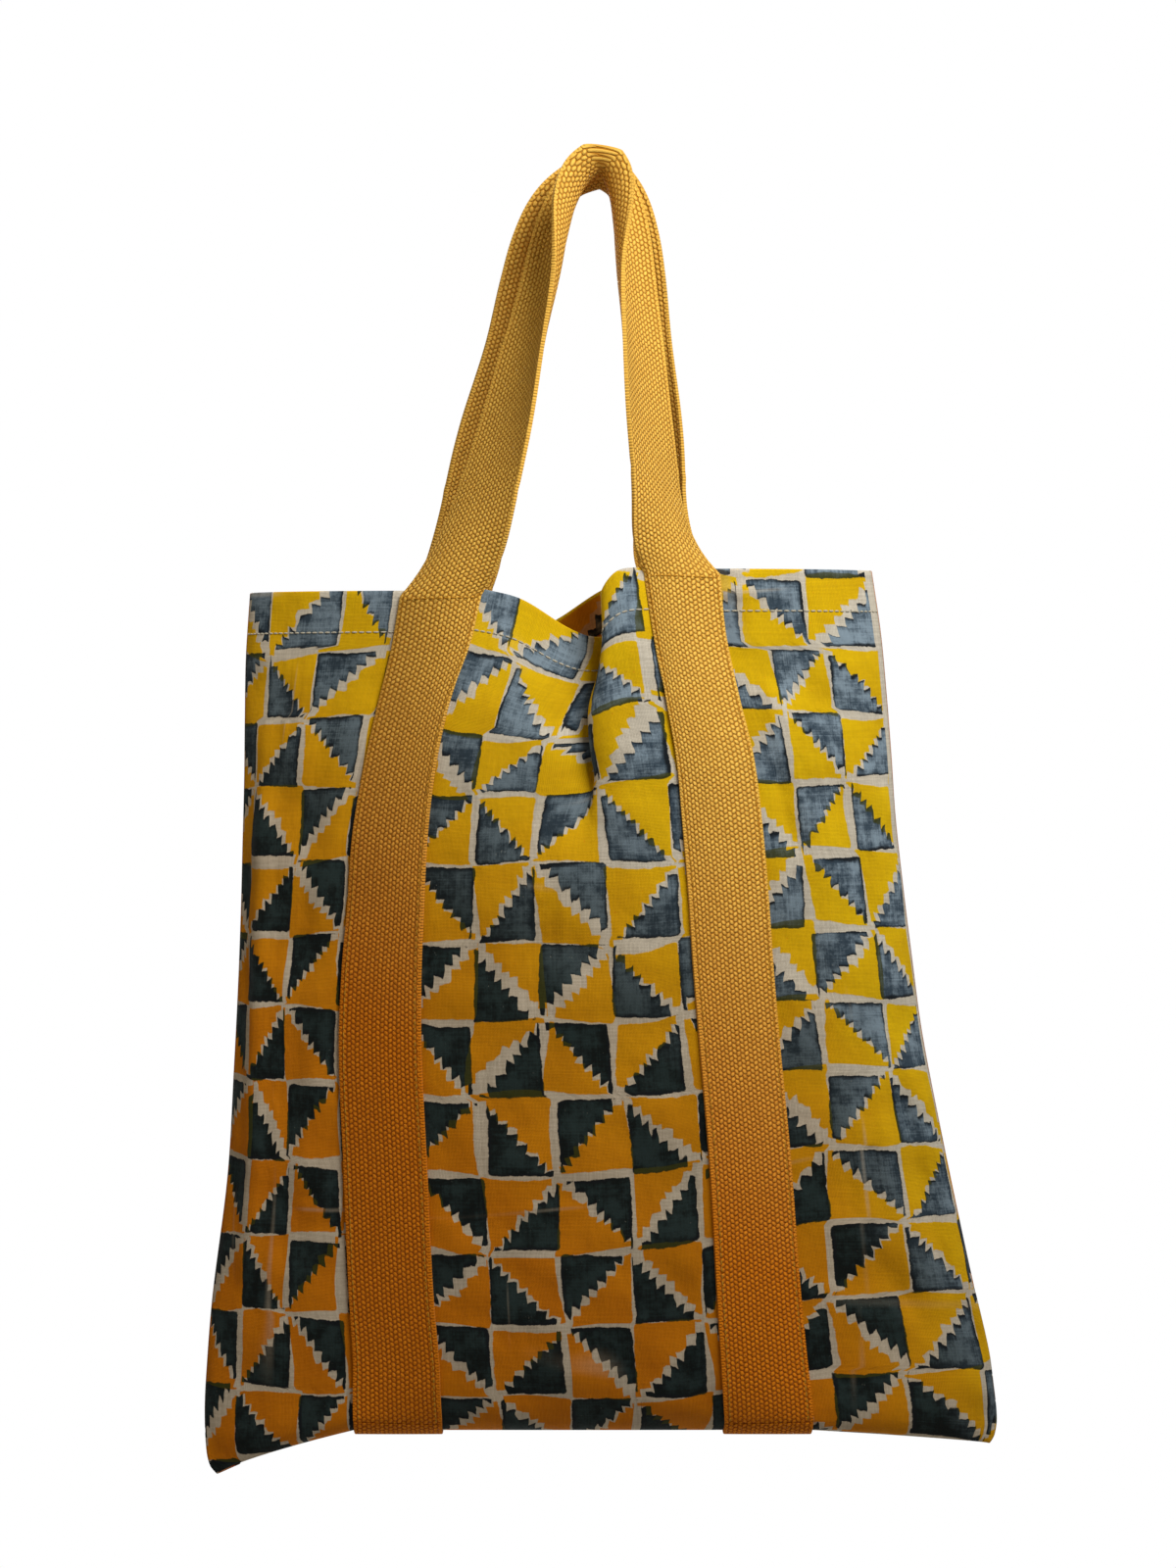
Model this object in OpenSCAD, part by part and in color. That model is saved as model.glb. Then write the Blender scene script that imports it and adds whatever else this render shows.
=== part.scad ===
// Flat canvas tote bag with two long webbing handles, shown as it hangs from a hook.
// Origin: the hang point, under the crest of the two handles. +X to the bag's right as seen
// from the front, -Y towards the front, +Z up.
// A place on the cloth is given flat: "across" from the middle and "down" from the hem edge.

/* [Bag] */
// Width of the bag laid flat, side seam to side seam
bag_width = 380; // [320:2:440]
// Height of the bag laid flat, hem edge to bottom seam
bag_height = 400; // [340:2:460]
// Depth of the turned-in hem round the mouth
hem_depth = 18; // [16:1:36]
// Thickness of one layer of canvas
cloth_thickness = 0.8; // [0.5:0.05:1.2]
// Width of the sewn-together raw edges inside the seams
seam_allowance = 10; // [6:1:14]

/* [Straps and handles] */
// Width of the webbing
strap_width = 40; // [30:1:48]
// Distance between the middles of the two straps on one panel
strap_spacing = 168; // [150:2:190]
// Thickness of the webbing
webbing_thickness = 1.8; // [1.2:0.1:2.4]
// Height of the hang point over the hem at the left strap
handle_drop = 187; // [150:2:260]
// Space between the two handles where they cross the hook
handle_gap = 2.4; // [1:0.2:5]

/* [Hanging shape] */
// How far each panel stands from the middle plane at the straps, at the mouth
mouth_reach = 29; // [22:1:36]
// How much higher the hem hangs at the right strap than at the left one
hem_rise = 10; // [0:1:16]
// How far the cloth between the straps bellies out beyond them
gap_belly = 3; // [0:0.5:6]
// Depth of the soft fold in the mouth, as a share of its full form
fold_depth = 1; // [0.3:0.05:1.1]
// How far the left bottom corner hangs below the middle of the bottom seam
left_droop = 21; // [5:1:28]
// How far the right bottom corner hangs below the middle of the bottom seam
right_droop = 7; // [0:1:28]

/* [Stitching] */
// Width of a line of thread
thread_width = 0.8; // [0.4:0.1:1.2]
// Height that thread stands over the cloth
thread_height = 0.4; // [0.2:0.05:0.8]
// Distance of the strap's stitching from its edge
stitch_inset = 2.5; // [1.5:0.25:5]

/* [Hidden] */

FRONT = -1;
BACK = 1;
LEFT = -1;
RIGHT = 1;

half_width = bag_width / 2;
half_strap = strap_width / 2;
half_spacing = strap_spacing / 2;
inner_edge = half_spacing - half_strap;
outer_edge = half_spacing + half_strap;
margin = half_width - outer_edge;

// Clear space left between layers of cloth and webbing
layer_gap = 0.15;
thread_gap = 0.16;
panel_in = layer_gap;
panel_out = panel_in + cloth_thickness;
strap_in = panel_out + layer_gap;
strap_out = strap_in + webbing_thickness;
hem_out = -layer_gap;
hem_in = hem_out - cloth_thickness;

// The bag hangs lower than it is long when flat, because the foot curves under
shortening = 0.9425;

// How the bag hangs at each share of its height: how far the middle has moved sideways in shares of
// the width, how much of
// the flat spacing the straps keep, how much of the flat margins shows left and right, how much of
// mouth_reach is left, how far each strap has turned, and how round its face is
// [share, sideways, spread, left, right, reach, left turn, right turn, roundness]
HANG = [
    [0.00, -0.0460, 0.600, 0.845, 0.844, 1.000, 22, 30, 0.70],
    [0.07, -0.0485, 0.648, 0.815, 0.853, 0.990, 28, 34, 0.64],
    [0.14, -0.0505, 0.727, 0.750, 0.822, 0.980, 34, 32, 0.52],
    [0.21, -0.0500, 0.802, 0.695, 0.781, 0.965, 34, 28, 0.44],
    [0.28, -0.0510, 0.850, 0.660, 0.764, 0.940, 31, 26, 0.36],
    [0.36, -0.0500, 0.883, 0.645, 0.767, 0.910, 30, 26, 0.28],
    [0.44, -0.0500, 0.912, 0.633, 0.781, 0.875, 26, 26, 0.22],
    [0.53, -0.0470, 0.938, 0.640, 0.795, 0.825, 22, 26, 0.15],
    [0.66, -0.0380, 0.957, 0.686, 0.842, 0.740, 20, 24, 0.10],
    [0.80, -0.0300, 0.969, 0.771, 0.914, 0.630, 18, 20, 0.07],
    [0.89, -0.0230, 0.975, 0.818, 0.962, 0.525, 14, 14, 0.05],
    [0.93, -0.0210, 0.985, 0.823, 0.968, 0.460, 10, 8, 0.04],
    [0.97, -0.0195, 0.992, 0.817, 0.972, 0.340, 3, 2, 0.03],
    [0.99, -0.0200, 0.992, 0.800, 0.965, 0.190, 0, 0, 0.03],
    [1.00, -0.0200, 0.992, 0.770, 0.946, 0.040, 0, 0, 0.03]];

// The soft fold between the straps, at the hem and a little below it, in shares of strap_spacing
// [share of the gap from the left strap, sideways, outwards, up]
HEM_FOLD = [
    [0.00, 0, 0, 0], [0.17, 0.036, -0.03, -0.036], [0.34, 0.085, -0.065, -0.12], [0.45, 0.107, -0.09, -0.15],
    [0.56, 0.132, -0.113, -0.142], [0.69, 0.058, -0.054, -0.1], [0.80, -0.028, 0.012, -0.06], [0.89, -0.029, 0.03, -0.01],
    [1.00, 0, 0, 0]];
SHOULDER_FOLD = [
    [0.00, 0, 0, 0], [0.17, 0.006, 0, -0.018], [0.34, 0.009, -0.018, -0.048],
    [0.45, 0.027, -0.042, -0.065], [0.56, 0.083, -0.071, -0.065], [0.69, -0.018, -0.012, -0.036],
    [0.80, -0.036, 0.024, -0.012], [0.89, -0.024, 0.018, 0], [1.00, 0, 0, 0]];
shoulder_down = 0.15;
fold_end = 0.33;
back_fold_drop = 0.85;

// How far each handle has come in at each share of its height
FRONT_ARCH = [[0, 0], [0.15, 0.18], [0.36, 0.39], [0.55, 0.54], [0.73, 0.69], [0.85, 0.77],
    [0.93, 0.84], [0.98, 0.92], [1, 1]];
BACK_ARCH = [[0, 0], [0.16, 0.11], [0.4, 0.27], [0.6, 0.45], [0.76, 0.56], [0.87, 0.65],
    [0.94, 0.745], [0.985, 0.88], [1, 1]];
// How far the webbing has turned edge-on, and how far its edges curl outwards, up the handle
LEFT_HANDLE_TURN = [[0.18, 42], [0.37, 52], [0.59, 60], [0.75, 66], [0.85, 72], [1, 90]];
RIGHT_HANDLE_TURN = [[0.08, 46], [0.18, 57], [0.37, 60], [0.59, 63], [0.75, 66], [0.85, 72], [1, 90]];
HANDLE_CURL = [[0.12, -0.35], [0.3, 0.1], [0.55, 0.5], [0.75, 0.9], [0.9, 1.35], [1, 1.55]];
crest_curl = 1.55;
crest_reach = half_strap * sin(deg(crest_curl)) / crest_curl + webbing_thickness + handle_gap / 2;
leg_rings = 20;
// The webbing's rings start level with the hem and stand square to it from this share of the height
level_foot = 0.2;
// Each handle turns on its own line of stitches and starts this far over the sewn strap
foot_clear = 1.5;
handle_segments = 6;

// ---- Curves

function deg(radians) = radians * 180 / PI;
function ease(x) = let (c = min(max(x, 0), 1)) c * c * (3 - 2 * c);
function unit(v) = v / norm(v);
function mix(a, b, share) = a + (b - a) * share;
function span_of(list, x, i = 0) = i >= len(list) - 2 || x < list[i + 1][0] ? i : span_of(list, x, i + 1);
function slope(list, i) =
    let (a = max(i - 1, 0), b = min(i + 1, len(list) - 1))
    (list[b] - list[a]) / (list[b][0] - list[a][0]);

// A smooth curve through the rows of a list; the first number of each row is its place
function along(list, x) =
    let (i = span_of(list, x), a = list[i], b = list[i + 1], w = b[0] - a[0], u = (x - a[0]) / w)
    a * (2 * u ^ 3 - 3 * u ^ 2 + 1) + slope(list, i) * w * (u ^ 3 - 2 * u ^ 2 + u)
    + b * (3 * u ^ 2 - 2 * u ^ 3) + slope(list, i + 1) * w * (u ^ 3 - u ^ 2);

// Place on the round face of a strap: along its width, and back from its middle
function round_face(curl, share) =
    [half_strap * sin(deg(curl * share)) / curl, half_strap * (1 - cos(deg(curl * share))) / curl];

// ---- The hanging cloth

function strap_middle(hang, hand) =
    [hang[1] * bag_width + hand * half_spacing * hang[2], mouth_reach * hang[5]];
function strap_turn(hang, hand) = hand == LEFT ? hang[6] : hang[7];

// Plan place of the strap's cross-section; share runs from -1 at the outer edge to 1 at the inner edge
function strap_plan(hang, hand, share) =
    let (turn = strap_turn(hang, hand), face = round_face(hang[8], share))
    strap_middle(hang, hand)
    + face[0] * [-hand * cos(turn), sin(turn)] - face[1] * [-hand * sin(turn), cos(turn)];

function seam_plan(hang, hand) =
    [strap_middle(hang, hand)[0] + hand * (margin + half_strap) * (hand == LEFT ? hang[3] : hang[4]), 0];

// Plan place of the margin; share runs from 0 at the seam to 1 at the strap
function margin_plan(hang, hand, share) =
    let (a = seam_plan(hang, hand), b = strap_plan(hang, hand, -1))
    [mix(a[0], b[0], share ^ 1.35), mix(a[1], b[1], 1 - (1 - share) ^ 1.8)];

function gap_plan(hang, share) =
    mix(strap_plan(hang, LEFT, 1), strap_plan(hang, RIGHT, 1), share)
    + [0, gap_belly * hang[5] * 4 * share * (1 - share)];

function plan(hang, across) =
    let (hand = across < 0 ? LEFT : RIGHT, off = abs(across))
    off >= outer_edge ? margin_plan(hang, hand, (half_width - off) / margin)
    : off > inner_edge ? strap_plan(hang, hand, (half_spacing - off) / half_strap)
    : gap_plan(hang, (across + inner_edge) / (2 * inner_edge));

function fold_row(list, side, share) =
    let (row = along(list, side == FRONT ? share : 1 - share))
    fold_depth * strap_spacing * (side == FRONT ? [row[1], row[2], row[3]] : [-row[1], row[2], back_fold_drop * row[3]]);

function fold(side, across, share_down) =
    let (share = (across + inner_edge) / (2 * inner_edge),
        low = ease(share_down / shoulder_down),
        end = 1 - ease((share_down - shoulder_down) / (fold_end - shoulder_down)))
    abs(across) >= inner_edge || share_down >= fold_end ? [0, 0, 0]
    : fold_row(HEM_FOLD, side, share) * (1 - low) + fold_row(SHOULDER_FOLD, side, share) * low * end;

function hem_height(across) =
    -handle_drop + hem_rise * ease((across + half_spacing) / strap_spacing);
bottom_height = -handle_drop - shortening * bag_height;
function droop(across) =
    let (share = max(abs(across) - outer_edge, 0) / margin)
    (across < 0 ? left_droop : right_droop) * share;
// Share of the hang that is reached at a share of the cloth: the foot curves under between the corners
function fall(across, share) =
    let (foot = 1 - max(abs(across) - outer_edge, 0) / margin)
    share + foot * 0.03 * (share - share ^ 24);
function height_at(across, share) =
    mix(hem_height(across), bottom_height - droop(across), fall(across, share));

// A place on the inner face of a panel
function skin(side, across, down) =
    let (share = down / bag_height, p = plan(along(HANG, share), across), d = fold(side, across, share))
    [p[0] + d[0], side * (p[1] + d[1]), height_at(across, share) + d[2]];

function outward(side, across, down) =
    let (e = 0.4, f0 = max(across - e, -half_width), f1 = min(across + e, half_width),
        r0 = max(down - e, 0), r1 = min(down + e, bag_height))
    unit(-side * cross(skin(side, across, r1) - skin(side, across, r0),
        skin(side, f1, down) - skin(side, f0, down)));

function on_cloth(side, across, down, lift) =
    skin(side, across, down) + lift * outward(side, across, down);

// ---- Lines of the grid that all layers share, so that they stay parallel

function steps(a, b, n) = [for (i = [1:n]) a + (b - a) * i / n];
MARGIN_LINES = 6;
STRAP_LINES = 4;
GAP_LINES = 18;
left_margin_lines = concat([-half_width], steps(-half_width, -outer_edge, MARGIN_LINES));
left_strap_lines = concat([-outer_edge], steps(-outer_edge, -inner_edge, STRAP_LINES));
gap_lines = concat([-inner_edge], steps(-inner_edge, inner_edge, GAP_LINES));
right_strap_lines = concat([inner_edge], steps(inner_edge, outer_edge, STRAP_LINES));
right_margin_lines = concat([outer_edge], steps(outer_edge, half_width, MARGIN_LINES));
ALL_LINES = concat(left_margin_lines, steps(-outer_edge, -inner_edge, STRAP_LINES),
    steps(-inner_edge, inner_edge, GAP_LINES), steps(inner_edge, outer_edge, STRAP_LINES),
    steps(outer_edge, half_width, MARGIN_LINES));
HEM_ROWS = concat([0], steps(0, hem_depth, 2));
BODY_ROWS = concat(HEM_ROWS, steps(hem_depth, 0.33 * bag_height, 7),
    steps(0.33 * bag_height, 0.85 * bag_height, 8), steps(0.85 * bag_height, 0.95 * bag_height, 3),
    steps(0.95 * bag_height, bag_height, 5));
underfold_rows = [for (row = BODY_ROWS) if (row >= 0.97 * bag_height) row];
STRAP_ROWS = [for (row = BODY_ROWS) if (row <= underfold_rows[0]) row];

// ---- Solids from two matching grids of points

function side_faces(n, m) = concat(
    [for (j = [0:m - 2]) for (i = [0:n - 2]) let (k = j * n + i) [k, k + 1, k + n + 1, k + n]],
    [for (j = [0:m - 2]) for (i = [0:n - 2]) let (k = (m + j) * n + i) [k, k + n, k + n + 1, k + 1]]);
function rim_faces(n, m) = let (far = n * m, last = n * (m - 1)) concat(
    [for (i = [0:n - 2]) [i, far + i, far + i + 1, i + 1]],
    [for (i = [0:n - 2]) [last + i, last + i + 1, far + last + i + 1, far + last + i]],
    [for (j = [0:m - 2]) let (k = j * n) [k, k + n, far + k + n, far + k]],
    [for (j = [0:m - 2]) let (k = j * n + n - 1) [k, far + k, far + k + n, k + n]]);
function split(faces) = [for (f = faces) each [[f[0], f[1], f[2]], [f[0], f[2], f[3]]]];

// rows x columns grids: outer and inner, with the outer one seen from outside in rows from the top
module slab(outer, inner, flip = false) {
    n = len(outer[0]);
    m = len(outer);
    faces = split(concat(side_faces(n, m), rim_faces(n, m)));
    polyhedron(points = [for (row = outer) each row, for (row = inner) each row],
        faces = flip ? [for (f = faces) [f[2], f[1], f[0]]] : faces, convexity = 8);
}

module layer(side, lines, rows, lift_in, lift_out) {
    slab([for (r = rows) [for (f = lines) on_cloth(side, f, r, lift_out)]],
        [for (r = rows) [for (f = lines) on_cloth(side, f, r, lift_in)]], flip = side == BACK);
}

// ---- Cloth

module panel(side) {
    color("gold") layer(side, ALL_LINES, BODY_ROWS, panel_in, panel_out);
}
module front_panel() { panel(FRONT); }
module back_panel() { panel(BACK); }

module hem(side) {
    hem_lines = [for (f = ALL_LINES) if (abs(f) < half_width - 2 * cloth_thickness - seam_allowance) f];
    color("darkorange") layer(side, hem_lines, HEM_ROWS, hem_in, hem_out);
}
module front_hem() { hem(FRONT); }
module back_hem() { hem(BACK); }

// The two raw edges sewn together inside a side seam, pointing in between the panels
module side_seam(hand) {
    rows = [for (r = BODY_ROWS) if (r <= 0.9 * bag_height) r];
    function edge(r, in, y) = skin(FRONT, hand * half_width, r) + [-hand * in, y, 0];
    start = 3 * cloth_thickness;
    outer = [for (r = rows) [for (x = [start, start + seam_allowance]) edge(r, x, -cloth_thickness)]];
    inner = [for (r = rows) [for (x = [start, start + seam_allowance]) edge(r, x, cloth_thickness)]];
    color("ivory") slab(outer, inner, flip = hand == RIGHT);
}
module left_side_seam() { side_seam(LEFT); }
module right_side_seam() { side_seam(RIGHT); }

module bottom_seam() {
    lines = [for (f = ALL_LINES) if (abs(f) < half_width - 0.45 * margin) f];
    start = 2 * layer_gap;
    function edge(f, up, y) =
        let (p = skin(FRONT, f, bag_height)) [p[0], y, p[2] + up];
    outer = [for (up = [start + seam_allowance, start]) [for (f = lines) edge(f, up, -cloth_thickness)]];
    inner = [for (up = [start + seam_allowance, start]) [for (f = lines) edge(f, up, cloth_thickness)]];
    color("ivory") slab(outer, inner);
}

// The line of stitches that closes each seam lies on the raw edges, a little in from the fold
seam_thread_in = 3 * cloth_thickness + thread_width;
module side_seam_thread(hand) {
    rows = [for (r = BODY_ROWS) if (r <= 0.9 * bag_height) r];
    near = -cloth_thickness - thread_gap;
    function edge(r, in, y) = skin(FRONT, hand * half_width, r) + [-hand * in, y, 0];
    across = [seam_thread_in, seam_thread_in + thread_width];
    outer = [for (r = rows) [for (x = across) edge(r, x, near - thread_height)]];
    inner = [for (r = rows) [for (x = across) edge(r, x, near)]];
    color("white") slab(outer, inner, flip = hand == RIGHT);
}
module left_seam_thread() { side_seam_thread(LEFT); }
module right_seam_thread() { side_seam_thread(RIGHT); }

module bottom_seam_thread() {
    lines = [for (f = ALL_LINES) if (abs(f) < half_width - 0.45 * margin) f];
    near = -cloth_thickness - thread_gap;
    function edge(f, up, y) =
        let (p = skin(FRONT, f, bag_height)) [p[0], y, p[2] + up];
    rows = [seam_thread_in + thread_width, seam_thread_in];
    outer = [for (up = rows) [for (f = lines) edge(f, up, near - thread_height)]];
    inner = [for (up = rows) [for (f = lines) edge(f, up, near)]];
    color("white") slab(outer, inner);
}

// ---- Webbing sewn to the cloth

module sewn_strap(side, lines) {
    color("goldenrod") layer(side, lines, STRAP_ROWS, strap_in, strap_out);
}
module front_strap_left() { sewn_strap(FRONT, left_strap_lines); }
module front_strap_right() { sewn_strap(FRONT, right_strap_lines); }
module back_strap_left() { sewn_strap(BACK, left_strap_lines); }
module back_strap_right() { sewn_strap(BACK, right_strap_lines); }

// The webbing passes under the bottom seam from the front strap to the back one
module underfold(lines) {
    front_rows = [for (r = underfold_rows) [FRONT, r]];
    back_rows = [for (i = [len(underfold_rows) - 1:-1:0]) [BACK, underfold_rows[i]]];
    rows = concat(front_rows, back_rows);
    color("goldenrod") slab(
        [for (r = rows) [for (f = lines) on_cloth(r[0], f, r[1], strap_out)]],
        [for (r = rows) [for (f = lines) on_cloth(r[0], f, r[1], strap_in)]]);
}
module left_strap_underfold() { underfold(left_strap_lines); }
module right_strap_underfold() { underfold(right_strap_lines); }

// ---- Handles

mouth = HANG[0];
strap_lift = (strap_in + strap_out) / 2;
function leg_foot(side, hand) =
    on_cloth(side, hand * half_spacing, 0, strap_lift);
function leg_turn(hand, h) = along(
    concat([[0, strap_turn(mouth, hand)]], hand == LEFT ? LEFT_HANDLE_TURN : RIGHT_HANDLE_TURN), h)[1];
function leg_curl(h) = along(concat([[0, -mouth[8]]], HANDLE_CURL), h)[1];

// Middle of the webbing at a share of the handle's height
function leg_middle(side, hand, h) =
    let (foot = leg_foot(side, hand), arch = side == FRONT ? FRONT_ARCH : BACK_ARCH)
    [foot[0] * (1 - along(arch, h)[1]), mix(foot[1], side * crest_reach, ease(h)),
        mix(foot[2], webbing_thickness / 2, h)];

// One handle as a run of rings: up the left leg, over the crest and down the right leg
function ring_height(i) = let (u = 1 - abs(i) / leg_rings) max(1 - (1 - u) ^ 2, foot_clear / handle_drop);
function ring_middle(side, i) = leg_middle(side, i <= 0 ? LEFT : RIGHT, ring_height(i));
function ring_across(side, i) =
    let (hand = i <= 0 ? LEFT : RIGHT, turn = leg_turn(hand, ring_height(i)))
    [-hand * cos(turn), side * sin(turn), 0];
function ring_tangent(side, i) =
    unit(ring_middle(side, min(i + 1, leg_rings)) - ring_middle(side, max(i - 1, -leg_rings)));

function ring(side, i, lift) =
    let (t = ring_tangent(side, i), a = ring_across(side, i),
        w = unit(a - ease(ring_height(i) / level_foot) * (a * t) * t),
        n = unit(-side * cross(w, t)), curl0 = leg_curl(ring_height(i)),
        curl = abs(curl0) < 0.02 ? 0.02 : curl0)
    [for (k = [0:handle_segments])
        let (q = 2 * k / handle_segments - 1, face = round_face(curl, q))
        ring_middle(side, i) + face[0] * w + face[1] * n
        + lift * (cos(deg(curl * q)) * n - sin(deg(curl * q)) * w)];

module handle(side) {
    outer = [for (i = [leg_rings:-1:-leg_rings]) ring(side, i, webbing_thickness / 2)];
    inner = [for (i = [leg_rings:-1:-leg_rings]) ring(side, i, -webbing_thickness / 2)];
    color("goldenrod") slab(outer, inner, flip = side == FRONT);
}
module front_handle() { handle(FRONT); }
module back_handle() { handle(BACK); }

// ---- Thread

module thread_line(side, lines, rows, lift) {
    layer(side, lines, rows, lift + thread_gap, lift + thread_gap + thread_height);
}

// The hem's line of stitches shows between the straps and the seams
module hem_thread(side) {
    rows = [hem_depth - thread_width / 2, hem_depth + thread_width / 2];
    color("white") {
        thread_line(side, left_margin_lines, rows, panel_out);
        thread_line(side, gap_lines, rows, panel_out);
        thread_line(side, right_margin_lines, rows, panel_out);
    }
}
module front_hem_thread() { hem_thread(FRONT); }
module back_hem_thread() { hem_thread(BACK); }

module strap_thread(side, hand) {
    color("khaki") for (edge = [-1, 1]) {
        line = hand * half_spacing + edge * (half_strap - stitch_inset);
        thread_line(side, [line - thread_width / 2, line + thread_width / 2], STRAP_ROWS, strap_out);
    }
}
module front_strap_thread_left() { strap_thread(FRONT, LEFT); }
module front_strap_thread_right() { strap_thread(FRONT, RIGHT); }
module back_strap_thread_left() { strap_thread(BACK, LEFT); }
module back_strap_thread_right() { strap_thread(BACK, RIGHT); }

// A line of stitches across each strap just under the hem edge carries the handle
module handle_tacks(side) {
    tack_down = hem_depth / 5;
    inset = stitch_inset + thread_width;
    color("khaki") for (hand = [LEFT, RIGHT]) {
        low = hand * half_spacing - half_strap + inset;
        lines = concat([low], [for (f = hand == LEFT ? left_strap_lines : right_strap_lines)
            if (f > low && f < low + strap_width - 2 * inset) f], [low + strap_width - 2 * inset]);
        thread_line(side, lines, [tack_down - thread_width / 2, tack_down + thread_width / 2], strap_out);
    }
}
module front_handle_tacks() { handle_tacks(FRONT); }
module back_handle_tacks() { handle_tacks(BACK); }

front_panel();
back_panel();
front_hem();
back_hem();
left_side_seam();
right_side_seam();
bottom_seam();
front_strap_left();
front_strap_right();
back_strap_left();
back_strap_right();
left_strap_underfold();
right_strap_underfold();
front_handle();
back_handle();
front_hem_thread();
back_hem_thread();
front_strap_thread_left();
front_strap_thread_right();
back_strap_thread_left();
back_strap_thread_right();
front_handle_tacks();
back_handle_tacks();
left_seam_thread();
right_seam_thread();
bottom_seam_thread();
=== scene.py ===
"""Dresses the canvas tote bag: its printed cloth, webbing, thread, light and camera.

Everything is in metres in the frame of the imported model: the origin is the hang point, +X is to the
bag's right as seen from the front, -Y towards the front and +Z up. A place on the cloth is given flat,
as "across" from the middle and "down" from the hem edge.
"""

import logging
import math
from dataclasses import dataclass, field
from enum import Enum
from functools import partial
from typing import Callable, Sequence, Union

import bmesh
import bpy
import numpy as np
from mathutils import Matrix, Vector


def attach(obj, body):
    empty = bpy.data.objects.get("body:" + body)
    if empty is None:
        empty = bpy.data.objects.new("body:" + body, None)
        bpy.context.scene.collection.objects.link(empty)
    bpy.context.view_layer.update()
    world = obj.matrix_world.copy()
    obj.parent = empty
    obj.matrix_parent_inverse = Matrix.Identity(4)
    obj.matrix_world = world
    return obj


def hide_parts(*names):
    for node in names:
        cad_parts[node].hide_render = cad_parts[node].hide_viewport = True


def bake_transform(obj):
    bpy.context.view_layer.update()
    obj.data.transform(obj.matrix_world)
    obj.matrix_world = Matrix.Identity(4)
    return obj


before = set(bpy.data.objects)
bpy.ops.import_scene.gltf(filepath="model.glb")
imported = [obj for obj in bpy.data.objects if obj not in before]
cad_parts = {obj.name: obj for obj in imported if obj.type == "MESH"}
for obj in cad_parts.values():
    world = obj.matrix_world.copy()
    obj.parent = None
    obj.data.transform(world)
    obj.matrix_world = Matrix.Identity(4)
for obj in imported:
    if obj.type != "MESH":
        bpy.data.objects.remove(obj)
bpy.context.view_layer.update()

log = logging.getLogger("tote_bag")

Array = np.ndarray
Number = Union[float, Array]
Piece = bpy.types.Object
Material = bpy.types.Material
Tree = bpy.types.NodeTree
Socket = bpy.types.NodeSocket
Value = Union["Wire", float, Sequence[float]]

MM = 0.001
FULL_TURN = 2 * math.pi


class Way(Enum):
    """A choice between the two directions of an axis."""

    @property
    def word(self) -> str:
        """The choice's name in lower case."""
        return self.name.lower()


class Side(Way):
    """The bag's two faces, by the sign of y."""

    FRONT = -1
    BACK = 1


class Hand(Way):
    """Left and right as seen from the front, by the sign of x."""

    LEFT = -1
    RIGHT = 1


# ---- Curves


def ease(x: Array) -> Array:
    """Goes smoothly from 0 to 1 as x does."""
    c = np.clip(x, 0.0, 1.0)
    return c * c * (3 - 2 * c)


def mix(a: Number, b: Number, share: Number) -> Number:
    """The value at a share of the way from a to b, for numbers, arrays and wires."""
    return a + (b - a) * share


def unit(v: Array) -> Array:
    """Each row of v at length 1."""
    return v / np.maximum(np.linalg.norm(v, axis=-1, keepdims=True), 1e-12)


def smoothed(path: Array, share: Number, times: int) -> Array:
    """Moves each row of a path by a share towards the middle of its neighbours, some times over."""
    for _ in range(times):
        path = path.copy()
        path[1:-1] = mix(path[1:-1], (path[:-2] + path[2:]) / 2, share)
    return path


def along(table: Sequence[Sequence[float]], place: Array) -> Array:
    """A smooth curve through the rows of a table.

    Args:
        table: Rows of numbers; the first number of each row is its place.
        place: Where on the curve.

    Returns:
        The row at each place, in a last axis of its own.
    """
    rows = np.asarray(table, float)
    place = np.asarray(place, float)
    k = np.arange(len(rows))
    before, after = np.maximum(k - 1, 0), np.minimum(k + 1, len(rows) - 1)
    slope = (rows[after] - rows[before]) / (rows[after, :1] - rows[before, :1])
    i = np.clip(np.searchsorted(rows[:, 0], place, side="right") - 1, 0, len(rows) - 2)
    a, b = rows[i], rows[i + 1]
    w = (b[..., 0] - a[..., 0])[..., None]
    u = (place[..., None] - a[..., :1]) / w
    return (
        a * (2 * u**3 - 3 * u**2 + 1)
        + slope[i] * w * (u**3 - 2 * u**2 + u)
        + b * (3 * u**2 - 2 * u**3)
        + slope[i + 1] * w * (u**3 - u**2)
    )


# ---- The shape of the hanging bag


@dataclass(frozen=True)
class Crease:
    """One soft ridge or hollow of the cloth, along a straight line on the flat panel."""

    start: tuple[float, float]
    end: tuple[float, float]
    height: float
    width: float
    lean: float = 0.0
    fade: float = 0.3
    end_width: float = 0.6

    def relief(self, across: Array, down: Array) -> Array:
        """How far the crease lifts the cloth at each flat place.

        Args:
            across: Flat places across, from the middle.
            down: Flat places down, from the hem edge.

        Returns:
            The lift, positive outwards.
        """
        a, b = np.array(self.start), np.array(self.end)
        line = b - a
        length = np.linalg.norm(line)
        t = line / length
        x, y = across - a[0], down - a[1]
        on = (x * t[0] + y * t[1]) / length
        off = x * t[1] - y * t[0]
        off = off + self.lean * length * on * (1 - on)
        ends = ease(on / self.fade) * ease((1 - on) / self.fade)
        near = off / (self.width * mix(self.end_width, 1, ends))
        return self.height * ends * np.exp(-near * near)


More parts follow.
